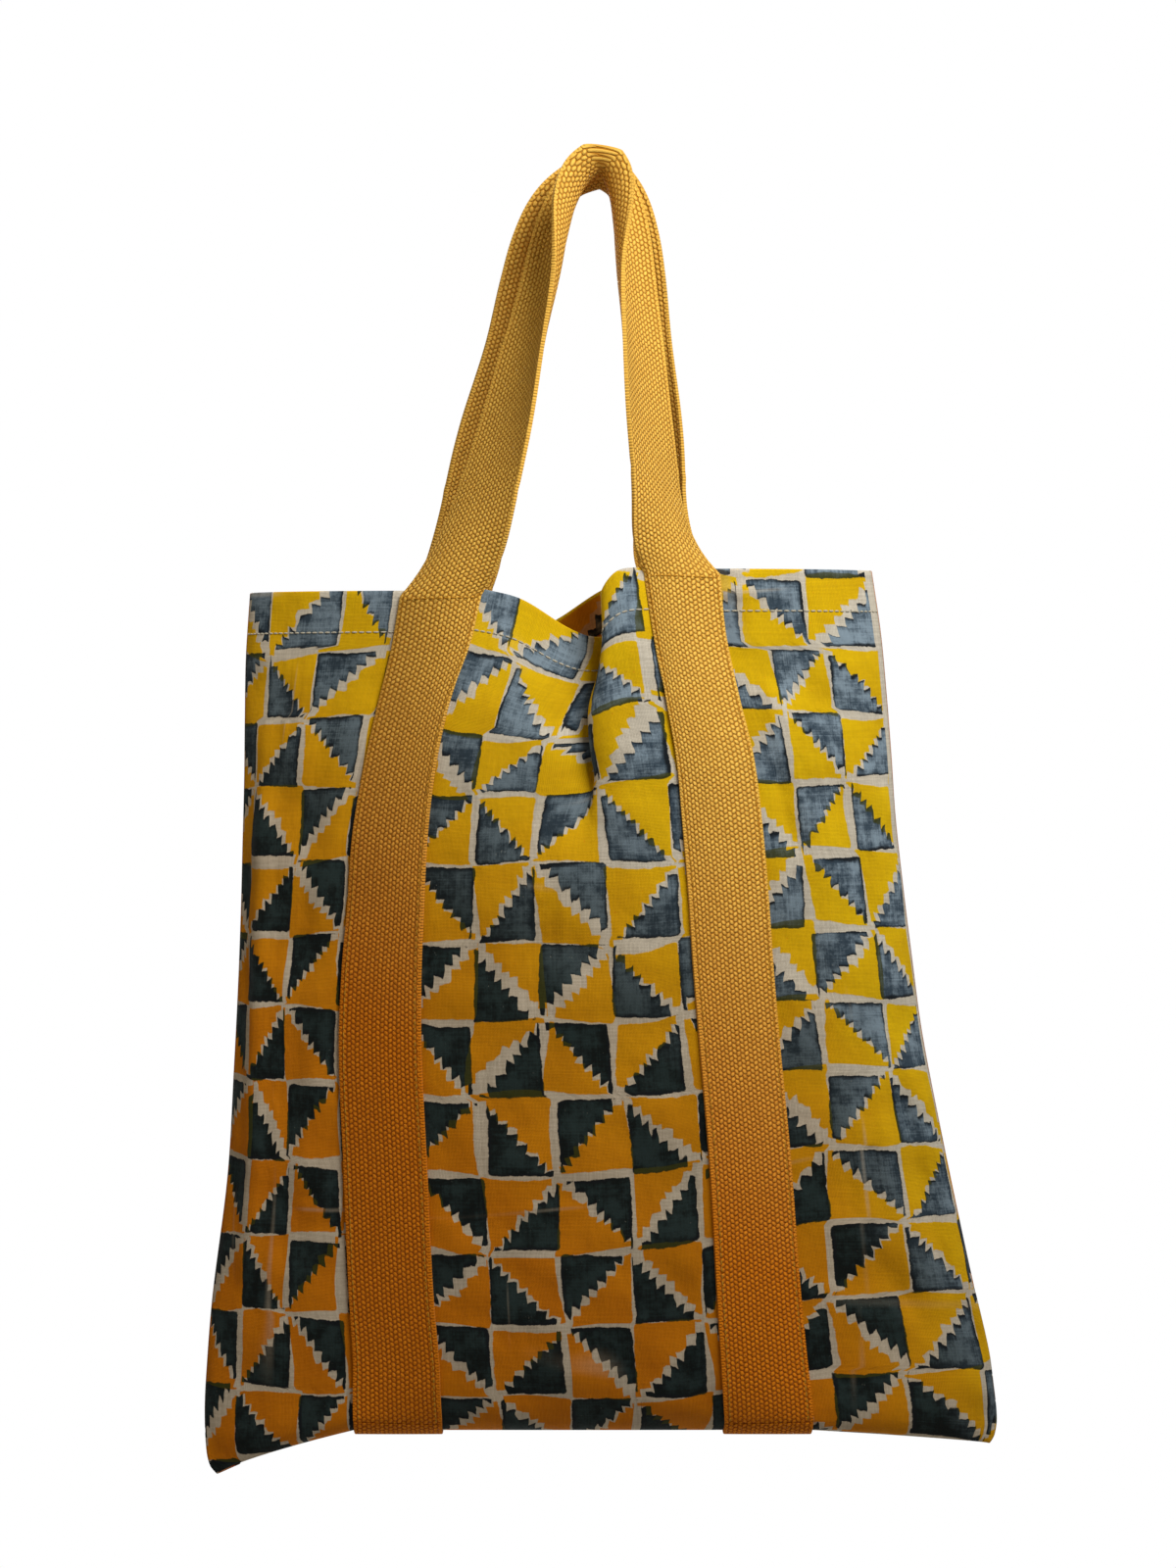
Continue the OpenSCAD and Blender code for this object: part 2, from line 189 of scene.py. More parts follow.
@dataclass(frozen=True)
class BagShape:
    """The hanging form that every layer of the bag follows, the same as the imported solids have."""

    width: float = 0.380
    height: float = 0.400
    hem: float = 0.018
    strap_width: float = 0.040
    strap_spacing: float = 0.168
    half_width: float = width / 2
    half_strap: float = strap_width / 2
    half_spacing: float = strap_spacing / 2
    inner_edge: float = half_spacing - half_strap
    outer_edge: float = half_spacing + half_strap
    margin: float = half_width - outer_edge
    cloth: float = 0.0008
    webbing: float = 0.0018
    handle_drop: float = 0.187
    handle_gap: float = 0.0024
    mouth_reach: float = 0.029
    hem_rise: float = 0.010
    gap_belly: float = 0.003
    left_droop: float = 0.021
    right_droop: float = 0.007
    shortening: float = 0.9425
    panel_middle: float = 0.00055
    panel_out: float = 0.00095
    strap_middle_lift: float = 0.0020
    strap_out: float = 0.0029
    margin_bend: float = 1.35
    margin_roundness: float = 1.8
    gap_sag: float = 0.03
    sag_end: int = 24
    nudge: float = 0.0004
    ring_nudge: float = 0.02
    least_curl: float = 0.02
    wave_count: int = 14
    wave_height: float = 0.0045
    wave_lengths: tuple = (0.018, 0.06)
    strap_calm: float = 0.014
    seam_calm: float = 0.012
    end_calm: float = 0.02
    hem_calm: float = 0.35
    # where the cloth is turned in: its least reach at the hem and elsewhere, and how wide that holds
    hem_reach: float = 0.00140
    seam_reach: float = 0.00048
    seam_hold: float = 0.004
    # the side allowances rise towards the foot, and the bottom one stands up from it
    allowance_rise: float = 0.45
    allowance_rise_start: float = 0.33
    allowance_rise_run: float = 0.05
    foot_turn: float = 0.0015
    foot_lift: float = 0.0004
    hang_columns: tuple = (
        "share", "sideways", "spread", "left", "right", "reach", "left_turn", "right_turn", "roundness",
    )
    hang: tuple = (
        (0.00, -0.0460, 0.600, 0.845, 0.844, 1.000, 22, 30, 0.70),
        (0.07, -0.0485, 0.648, 0.815, 0.853, 0.990, 28, 34, 0.64),
        (0.14, -0.0505, 0.727, 0.750, 0.822, 0.980, 34, 32, 0.52),
        (0.21, -0.0500, 0.802, 0.695, 0.781, 0.965, 34, 28, 0.44),
        (0.28, -0.0510, 0.850, 0.660, 0.764, 0.940, 31, 26, 0.36),
        (0.36, -0.0500, 0.883, 0.645, 0.767, 0.910, 30, 26, 0.28),
        (0.44, -0.0500, 0.912, 0.633, 0.781, 0.875, 26, 26, 0.22),
        (0.53, -0.0470, 0.938, 0.640, 0.795, 0.825, 22, 26, 0.15),
        (0.66, -0.0380, 0.957, 0.686, 0.842, 0.740, 20, 24, 0.10),
        (0.80, -0.0300, 0.969, 0.771, 0.914, 0.630, 18, 20, 0.07),
        (0.89, -0.0230, 0.975, 0.818, 0.962, 0.525, 14, 14, 0.05),
        (0.93, -0.0210, 0.985, 0.823, 0.968, 0.460, 10, 8, 0.04),
        (0.97, -0.0195, 0.992, 0.817, 0.972, 0.340, 3, 2, 0.03),
        (0.99, -0.0200, 0.992, 0.800, 0.965, 0.190, 0, 0, 0.03),
        (1.00, -0.0200, 0.992, 0.770, 0.946, 0.040, 0, 0, 0.03),
    )
    # share of the gap from the left strap; then sideways, outwards and up in shares of strap_spacing,
    # first at the hem edge and then at the shoulder
    fold_rows: tuple = (
        (0.00, 0, 0, 0, 0, 0, 0),
        (0.17, 0.036, -0.03, -0.036, 0.006, 0, -0.018),
        (0.34, 0.085, -0.065, -0.12, 0.009, -0.018, -0.048),
        (0.45, 0.107, -0.09, -0.15, 0.027, -0.042, -0.065),
        (0.56, 0.132, -0.113, -0.142, 0.083, -0.071, -0.065),
        (0.69, 0.058, -0.054, -0.1, -0.018, -0.012, -0.036),
        (0.80, -0.028, 0.012, -0.06, -0.036, 0.024, -0.012),
        (0.89, -0.029, 0.03, -0.01, -0.024, 0.018, 0),
        (1.00, 0, 0, 0, 0, 0, 0),
    )
    shoulder_down: float = 0.15
    fold_end: float = 0.33
    back_fold_drop: float = 0.85
    front_arch: tuple = (
        (0, 0), (0.15, 0.18), (0.36, 0.39), (0.55, 0.54), (0.73, 0.69), (0.85, 0.77),
        (0.93, 0.84), (0.98, 0.92), (1, 1),
    )
    back_arch: tuple = (
        (0, 0), (0.16, 0.11), (0.4, 0.27), (0.6, 0.45), (0.76, 0.56), (0.87, 0.65),
        (0.94, 0.745), (0.985, 0.88), (1, 1),
    )
    left_handle_turn: tuple = ((0.18, 42), (0.37, 52), (0.59, 60), (0.75, 66), (0.85, 72), (1, 90))
    right_handle_turn: tuple = (
        (0.08, 46), (0.18, 57), (0.37, 60), (0.59, 63), (0.75, 66), (0.85, 72), (1, 90),
    )
    handle_curl: tuple = ((0.12, -0.35), (0.3, 0.1), (0.55, 0.5), (0.75, 0.9), (0.9, 1.35), (1, 1.55))
    crest_curl: float = 1.55
    level_foot: float = 0.2
    front_creases: tuple = ()

    def section(self, share: Array) -> dict[str, Array]:
        """The hang table's columns by name, at a share of the way down."""
        return dict(zip(self.hang_columns, np.moveaxis(along(self.hang, share), -1, 0)))

    def strap_middle(self, hang: dict[str, Array], hand: Hand) -> Array:
        """Plan place across of a strap's middle."""
        return hang["sideways"] * self.width + hand.value * self.half_spacing * hang["spread"]

    def curled(self, curl: Number, share: Number) -> tuple[Array, Array]:
        """How far a curled strap reaches sideways and back at a share of its half width."""
        radius = self.half_strap / curl
        return radius * np.sin(curl * share), radius * (1 - np.cos(curl * share))

    def fold_share(self, across: Array) -> Array:
        """Share of the way across the gap between the straps, from the left."""
        return (across + self.inner_edge) / (2 * self.inner_edge)

    def strap_plan(
        self, hang: dict[str, Array], hand: Hand, share: Number
    ) -> tuple[Array, Array]:
        """Plan place on a strap's cross-section.

        Args:
            hang: The hang table's columns.
            hand: Which strap.
            share: From -1 at its outer edge to 1 at its inner edge.

        Returns:
            The place across and the reach from the middle plane.
        """
        turn = np.radians(hang[f"{hand.word}_turn"])
        over, back = self.curled(hang["roundness"], share)
        inward = over * np.cos(turn) - back * np.sin(turn)
        outward = over * np.sin(turn) - back * np.cos(turn)
        x = self.strap_middle(hang, hand) - hand.value * inward
        return x, self.mouth_reach * hang["reach"] + outward

    def margin_plan(
        self, hang: dict[str, Array], hand: Hand, share: Array
    ) -> tuple[Array, Array]:
        """Plan place of the cloth outside a strap.

        Args:
            hang: The hang table's columns.
            hand: Which margin.
            share: From 0 at the side seam to 1 at the strap.

        Returns:
            The place across and the reach from the middle plane.
        """
        share = np.clip(share, 0, 1)
        reach = hand.value * (self.margin + self.half_strap) * hang[hand.word]
        seam = self.strap_middle(hang, hand) + reach
        x, y = self.strap_plan(hang, hand, -1.0)
        return mix(seam, x, share**self.margin_bend), y * (1 - (1 - share) ** self.margin_roundness)

    def plan(self, hang: dict[str, Array], across: Array) -> tuple[Array, Array]:
        """Plan place of any flat place across.

        Args:
            hang: The hang table's columns at each place.
            across: Flat places across.

        Returns:
            The place across and the reach from the middle plane.
        """
        off = np.abs(across)
        share = self.fold_share(across)
        lx, ly = self.strap_plan(hang, Hand.LEFT, 1.0)
        rx, ry = self.strap_plan(hang, Hand.RIGHT, 1.0)
        x = mix(lx, rx, share)
        y = mix(ly, ry, share) + self.gap_belly * hang["reach"] * 4 * share * (1 - share)
        for hand in Hand:
            mine = across * hand.value > 0
            strap = self.strap_plan(hang, hand, (self.half_spacing - off) / self.half_strap)
            margin = self.margin_plan(hang, hand, (self.half_width - off) / self.margin)
            for here, (px, py) in ((off > self.inner_edge, strap), (off >= self.outer_edge, margin)):
                x, y = np.where(mine & here, px, x), np.where(mine & here, py, y)
        return x, y

    def fold(self, side: Side, across: Array, share_down: Array) -> Array:
        """How far the soft fold in the mouth moves the cloth between the straps."""
        share = np.clip(self.fold_share(across), 0, 1)
        place = share if side is Side.FRONT else 1 - share
        low = ease(share_down / self.shoulder_down)[..., None]
        end = 1 - ease((share_down - self.shoulder_down) / (self.fold_end - self.shoulder_down))
        rows = along(self.fold_rows, place)
        move = rows[..., 1:4] * (1 - low) + rows[..., 4:] * low * end[..., None]
        move = move * self.strap_spacing
        if side is Side.BACK:
            move = move * np.array([-1, 1, self.back_fold_drop])
        inside = (np.abs(across) < self.inner_edge) & (share_down < self.fold_end)
        return np.where(inside[..., None], move, 0.0)

    def height_at(self, across: Array, share: Array) -> Array:
        """Height of the cloth at a share of the way down, without the fold."""
        top = -self.handle_drop + self.hem_rise * ease(
            (across + self.half_spacing) / self.strap_spacing
        )
        out = np.maximum(np.abs(across) - self.outer_edge, 0) / self.margin
        droop = np.where(across < 0, self.left_droop, self.right_droop) * out
        low = -self.handle_drop - self.shortening * self.height - droop
        fall = share + (1 - out) * self.gap_sag * (share - share**self.sag_end)
        return mix(top, low, fall)

    def smooth_skin(self, side: Side, across: Array, down: Array) -> Array:
        """A place on the inner face of a panel, without its creases."""
        share = down / self.height
        x, y = self.plan(self.section(share), across)
        d = self.fold(side, across, share)
        z = self.height_at(across, share)
        return np.stack([x + d[..., 0], side.value * (y + d[..., 1]), z + d[..., 2]], -1)

    def across_face(
        self, surface: Callable[..., Array], side: Side, across: Array, down: Array
    ) -> Array:
        """The outward direction of a surface of the bag.

        Args:
            surface: A method that gives a place for side, across and down.
            side: Which panel.
            across: Flat places across.
            down: Flat places down.

        Returns:
            Outward directions of length 1.
        """
        e = self.nudge
        f0 = np.maximum(across - e, -self.half_width)
        f1 = np.minimum(across + e, self.half_width)
        r0, r1 = np.maximum(down - e, 0), np.minimum(down + e, self.height)
        below = surface(side, across, r1) - surface(side, across, r0)
        beside = surface(side, f1, down) - surface(side, f0, down)
        return unit(-side.value * np.cross(below, beside))

    def relief(self, side: Side, across: Array, down: Array) -> Array:
        """How far the creases of a panel lift it; the webbing holds the cloth under it flat."""
        front = side is Side.FRONT
        total = np.zeros(np.broadcast(across, down).shape)
        for crease in self.front_creases if front else ():
            total = total + crease.relief(across, down)
        waves = np.random.default_rng(4 if front else 9)
        for _ in range(self.wave_count):
            length, way = waves.uniform(*self.wave_lengths), waves.uniform(0, math.pi)
            phase = waves.uniform(0, FULL_TURN)
            run = (across * math.cos(way) + down * math.sin(way)) * FULL_TURN / length
            total = total + self.wave_height * length * np.sin(run + phase)
        off = np.abs(np.abs(across) - self.half_spacing) - self.half_strap
        free = ease(off / self.strap_calm) * ease((self.half_width - np.abs(across)) / self.seam_calm)
        below_hem = ease((down - self.hem) / self.end_calm)
        free = free * mix(self.hem_calm, 1, below_hem) * ease((self.height - down) / self.end_calm)
        return total * free

    def skin(self, side: Side, across: Array, down: Array) -> Array:
        """A place on the inner face of a panel, with its creases."""
        lift = self.relief(side, across, down)[..., None]
        out = self.across_face(self.smooth_skin, side, across, down)
        return self.smooth_skin(side, across, down) + lift * out

    def on_cloth(self, side: Side, across: Number, down: Number, lift: Number) -> Array:
        """A place at a lift over the inner face of a panel.

        Args:
            side: Which panel.
            across: Flat places across.
            down: Flat places down.
            lift: Distance outwards from the inner face.

        Returns:
            Places in the bag's frame.
        """
        across, down = np.broadcast_arrays(np.asarray(across, float), np.asarray(down, float))
        lift = np.broadcast_to(np.asarray(lift, float), across.shape)[..., None]
        return self.skin(side, across, down) + lift * self.across_face(self.skin, side, across, down)

    def cloth_place(self, side: Side, across: Array, down: Array) -> Array:
        """Where the middle of the canvas lies, hem and seam allowances included.

        Args:
            side: Which panel.
            across: Flat places across; past the half width the cloth is turned in at the seam.
            down: Flat places down; before 0 it is the turned-in hem, past the height the bottom seam.

        Returns:
            Places in the bag's frame.
        """
        s = side.value
        bend = self.panel_middle * math.pi / 2
        turn = np.clip(down / bend, -1, 1) * math.pi / 2
        lift = self.panel_middle * np.sin(turn)
        rise = self.panel_middle * np.cos(turn)
        a = np.clip(across, -self.half_width, self.half_width)
        d = np.clip(np.abs(down) - bend, 0, self.height)
        p = self.on_cloth(side, a, d, lift)
        p[..., 2] += rise
        off = self.half_width - np.abs(a)
        least = np.where(down < 0, self.hem_reach, self.seam_reach)
        least = least * np.exp(-((off / self.seam_hold) ** 2))
        p[..., 1] = np.where(s * p[..., 1] < least, s * least, p[..., 1])
        past = np.maximum(np.abs(across) - self.half_width, 0)
        p[..., 0] -= np.sign(across) * past
        risen = ease((down - self.allowance_rise_start) / self.allowance_rise_run)
        p[..., 2] += self.allowance_rise * past * risen
        under = np.maximum(down - self.height, 0)
        settle = ease(under / self.foot_turn)
        p[..., 1] = mix(p[..., 1], s * self.seam_reach, settle)
        p[..., 2] += np.maximum(under - self.foot_lift, 0) + self.foot_lift * settle
        return p

    def handle_place(self, side: Side, ring: Array, share: Array) -> Array:
        """A place on the middle of the handle's webbing.

        Args:
            side: Which handle.
            ring: From -1 at the left foot over 0 at the crest to 1 at the right foot.
            share: From -1 to 1 across the webbing.

        Returns:
            Places in the bag's frame.
        """
        middle = self.handle_middle(side, ring)
        after = self.handle_middle(side, np.minimum(ring + self.ring_nudge, 1))
        t = unit(after - self.handle_middle(side, np.maximum(ring - self.ring_nudge, -1)))
        h = self.ring_height(ring)
        *_, left_start, right_start, roundness = self.hang[0]
        left = along(((0, left_start),) + self.left_handle_turn, h)[..., 1]
        right = along(((0, right_start),) + self.right_handle_turn, h)[..., 1]
        turn = np.radians(np.where(ring <= 0, left, right))
        curl = along(((0, -roundness),) + self.handle_curl, h)[..., 1]
        curl = np.where(np.abs(curl) < self.least_curl, self.least_curl, curl)
        hand = np.where(ring <= 0, -1.0, 1.0)
        a = np.stack([-hand * np.cos(turn), side.value * np.sin(turn), 0 * turn], -1)
        lean = ease(h / self.level_foot)[..., None] * np.sum(a * t, -1, keepdims=True)
        w = unit(a - lean * t)
        n = unit(-side.value * np.cross(w, t))
        over, back = self.curled(curl, share)
        return middle + over[..., None] * w + back[..., None] * n

    def ring_height(self, ring: Array) -> Array:
        """Share of the handle's height at a ring."""
        return 1 - ring * ring

    def handle_middle(self, side: Side, ring: Array) -> Array:
        """Middle line of the handle's webbing at a ring."""
        crest = self.curled(self.crest_curl, 1.0)[0] + self.webbing + self.handle_gap / 2
        h = self.ring_height(ring)
        foot_across = np.where(ring <= 0, -self.half_spacing, self.half_spacing)
        x, y, z = np.moveaxis(self.on_cloth(side, foot_across, 0 * ring, self.strap_middle_lift), -1, 0)
        arch = along(self.front_arch if side is Side.FRONT else self.back_arch, h)[..., 1]
        top = self.webbing / 2
        return np.stack([x * (1 - arch), mix(y, side.value * crest, ease(h)), mix(z, top, h)], -1)


@dataclass(frozen=True)
class PrintLay:
    """How far the hand-printed rows and columns stray from an even grid, in millimetres."""

    cell_width: float = 33.2
    cell_height: float = 35.15
    left: float = -75.6
    top: float = 96.0
    row_step: float = 0.05
    drop_places: tuple = (-185, -112, -55, -20, 12, 45, 112, 180)
    # even height of a row's upper edge, then how far over it the print lies at each of those places
    drop: tuple = (
        (-60, -1, -1, -3, -2, -1, -5, -14, -14),
        (0, -1, -1, -3, -2, -1, -5, -14, -14),
        (26, -1, -0.5, -2, -2, -1, -3.5, -10, -10),
        (61, 2.5, 4, -3, -2.5, -1, -1, -3, -5),
        (96, 7.5, 6, 2, 6, 7, 1, -0.5, 0.5),
        (131, 9.5, 8.5, 4, 3.5, 2.5, 0, 2, 1.5),
        (166, 12, 9, 4.5, 4, 2, 0.3, 4, 2.5),
        (201, 15, 9.5, 3.3, 3, 1.8, 0.5, 7, 5.5),
        (236, 16, 9, 3, 2.5, 1.8, 1.8, 9, 8),
        (271, 17, 7.5, 2.2, 1.8, 1.5, 2.5, 10.5, 9),
        (306, 17.5, 7.5, 2.2, 2.2, 2.2, 3, 12, 10),
        (341, 17, 6.5, 3.7, 3.7, 3.7, 3.5, 13, 11),
        (376, 18.5, 5, 4, 4, 3.5, 3.5, 15, 10.5),
        (470, 19, 5, 4.5, 4.5, 4, 4, 15, 10),
    )
    shift_places: tuple = (-230, -175, -142, -109, -42, -9, 24, 57, 124, 157, 188, 230)
    # row number, then how far to the right of the even grid the print lies at each of those places
    shift: tuple = (
        (-3, 6, 6, 12, 2, 0, 0, 3, 3, -11, -15, -5, -5),
        (-2, 7, 7, 2, 2, 5, 2, 4, 3, -1.5, -8, -3, -3),
        (-1, 1.5, 1.5, -0.5, 0, 0, -2, 5, 6, -1, -4.5, -2, -2),
        (0, 1, 1, 1.5, 0, 1.5, 0, 2, 1.5, 0, -4, -3, -3),
        (1, 1, 1, 1, 1, 3.5, 0, 2, 3.5, 0, -0.5, 0, 0),
        (2, 3.5, 3.5, 1, 1, 2, 0, 1, 0, 0, 1, 0, 0),
        (3, 5, 5, 1.5, 2, 1, 1, 0, 0, 0, 3, 0, 0),
        (4, 10.5, 10.5, 2.5, 3, 4.5, 5, 4, 2.5, -1, 0, 0, 0),
        (5, 11, 11, 7, 3, 5, 5, 4, 1.5, -3.5, -2, -2, -2),
        (6, 11.5, 11.5, 6.5, 3, 3.5, 3.5, 3, 1, -6.5, -6.5, -5, -5),
        (7, 12, 12, 9, 3, 3, 3, 2, 1, -9.5, -13, -7, -7),
        (8, 11.5, 11.5, 14, 3, 4, 3, 2, 1, -12.5, -18, -10, -10),
    )

    def layout(self, across: Array, down: Array) -> Array:
        """Where a flat place of the cloth lies on the even grid.

        Args:
            across: Flat places across, seen from outside.
            down: Flat places down.

        Returns:
            Places on the even grid, in metres.
        """
        x, y = across / MM, down / MM
        even, *drops = np.asarray(self.drop, float).T
        heights = np.stack([np.interp(y, even - drop, even) for drop in drops], -1)
        v = self.between(x, np.asarray(self.drop_places, float), heights)
        row = (v - self.top) / self.cell_height
        row = np.floor(row) + ease((row - np.floor(row) - 1 + self.row_step) / self.row_step)
        shift = np.asarray(self.shift, float)
        places = np.asarray(self.shift_places, float)
        first = np.clip(np.floor(row).astype(int) - int(shift[0, 0]), 0, len(shift) - 1)
        second = np.minimum(first + 1, len(shift) - 1)
        share = np.where(row < shift[0, 0], 0.0, row - np.floor(row))
        u = np.zeros_like(x)
        for k, moved in enumerate(shift[:, 1:]):
            here = np.interp(x, places + moved, places)
            u = u + here * ((first == k) * (1 - share) + (second == k) * share)
        return np.stack([u, v], -1) * MM

    def between(self, x: Array, places: Array, values: Array) -> Array:
        """Values at x, straight between those given at some places."""
        k = np.clip(np.searchsorted(places, x) - 1, 0, len(places) - 2)
        share = np.clip((x - places[k]) / (places[k + 1] - places[k]), 0, 1)
        low = np.take_along_axis(values, k[..., None], -1)[..., 0]
        high = np.take_along_axis(values, k[..., None] + 1, -1)[..., 0]
        return mix(low, high, share)


# ---- Meshes


def steps(*stops: tuple[float, float]) -> Array:
    """Places from one stop to the next.

    Args:
        stops: Pairs of a place and the widest step allowed on the way to the next one.

    Returns:
        The places in order.
    """
    places = [stops[0][0]]
    for (a, step), (b, _) in zip(stops, stops[1:]):
        n = max(1, math.ceil(abs(b - a) / step - 1e-6))
        places.extend(np.linspace(a, b, n + 1)[1:])
    return np.array(places)


def placed(name: str, data: bpy.types.ID) -> Piece:
    """A new object in the scene."""
    piece = bpy.data.objects.new(name, data)
    bpy.context.scene.collection.objects.link(piece)
    return piece


def finished(name: str, bm: bmesh.types.BMesh, *materials: Material) -> Piece:
    """Puts a bmesh into the scene as a smooth-shaded object.

    Args:
        name: The piece's name.
        bm: Its mesh, which is freed.
        materials: What its slots hold.

    Returns:
        The new object.
    """
    mesh = bpy.data.meshes.new(name)
    bm.to_mesh(mesh)
    bm.free()
    for material in materials:
        mesh.materials.append(material)
    mesh.shade_smooth()
    return placed(name, mesh)


def vertex_places(mesh: bpy.types.Mesh) -> Array:
    """Where a mesh's vertices are, in rows."""
    co = np.empty(len(mesh.vertices) * 3)
    mesh.vertices.foreach_get("co", co)
    return co.reshape(-1, 3)


def woven_grid(
    name: str,
    columns: Array,
    rows: Array,
    place: Callable[[Array, Array], Array],
    flat: Callable[[Array, Array], Array],
    facing_back: bool,
    *materials: Material,
) -> Piece:
    """A sheet from a grid, with each point moved to its place and its flat place kept as a UV map.

    Args:
        name: The piece's name.
        columns: Flat places from the left.
        rows: Flat places from the top.
        place: Gives the places in space of flat places.
        flat: Gives the UV places of flat places.
        facing_back: True where the grid's outer face looks towards +Y.
        materials: What its slots hold.

    Returns:
        The new object.
    """
    bm = bmesh.new()
    bmesh.ops.create_grid(bm, x_segments=len(columns) - 1, y_segments=len(rows) - 1, size=1.0)
    if facing_back:
        bmesh.ops.reverse_faces(bm, faces=bm.faces)
    piece = finished(name, bm, *materials)
    mesh = piece.data
    co = vertex_places(mesh)
    column = np.rint((co[:, 0] + 1) / 2 * (len(columns) - 1)).astype(int)
    row = np.rint((1 - co[:, 1]) / 2 * (len(rows) - 1)).astype(int)
    grid = np.meshgrid(columns, rows)
    mesh.vertices.foreach_set("co", place(*grid)[row, column].ravel())
    layout = flat(*grid)
    corner = np.empty(len(mesh.loops), int)
    mesh.loops.foreach_get("vertex_index", corner)
    layer = mesh.uv_layers.new(name="Flat")
    layer.uv.foreach_set("vector", layout[row[corner], column[corner]].ravel())
    mesh.update()
    return piece


def modify(piece: Piece, kind: str, **settings: object) -> None:
    """Gives a piece a modifier with some settings."""
    modifier = piece.modifiers.new(kind.title(), kind)
    for name, value in settings.items():
        setattr(modifier, name, value)


def thicken(piece: Piece, thickness: float, inner: int = 0) -> None:
    """Gives a sheet its thickness, half to each side, and its inner face the slot some way on."""
    offsets = {"offset": 0.0, "use_even_offset": False}
    modify(piece, "SOLIDIFY", thickness=thickness, material_offset=inner, **offsets)


def soften(piece: Piece, width: float) -> None:
    """Rounds the sharp edges of a piece."""
    sharp = {"limit_method": "ANGLE", "angle_limit": math.radians(50)}
    modify(piece, "BEVEL", width=width, segments=2, **sharp)


# ---- Shader building


@dataclass(frozen=True)
class Patches:
    """Soft patches of noise: how many a metre, its finer layers, and the step that makes a mask."""

    scale: float
    detail: float
    low: float
    high: float
    start: float = 0.0
    end: float = 1.0


class Wire:
    """A value on its way through a shader tree; arithmetic with it adds math nodes."""

    def __init__(self, graph: "Graph", socket: Socket) -> None:
        """Stands for an output socket of a graph's tree."""
        self.graph = graph
        self.socket = socket

    def __add__(self, other: Value) -> "Wire":
        """The sum."""
        return self.graph.math("ADD", self, other)

    def __sub__(self, other: Value) -> "Wire":
        """The difference."""
        return self.graph.math("SUBTRACT", self, other)

    def __rsub__(self, other: float) -> "Wire":
        """What is left of a number."""
        return self.graph.math("SUBTRACT", other, self)

    def __mul__(self, other: Value) -> "Wire":
        """The product."""
        return self.graph.math("MULTIPLY", self, other)

    def __truediv__(self, other: Value) -> "Wire":
        """The quotient."""
        return self.graph.math("DIVIDE", self, other)

    def __mod__(self, other: float) -> "Wire":
        """The remainder, never below 0."""
        return self.graph.math("FLOORED_MODULO", self, other)

    def __abs__(self) -> "Wire":
        """The size without the sign."""
        return self.graph.math("ABSOLUTE", self)


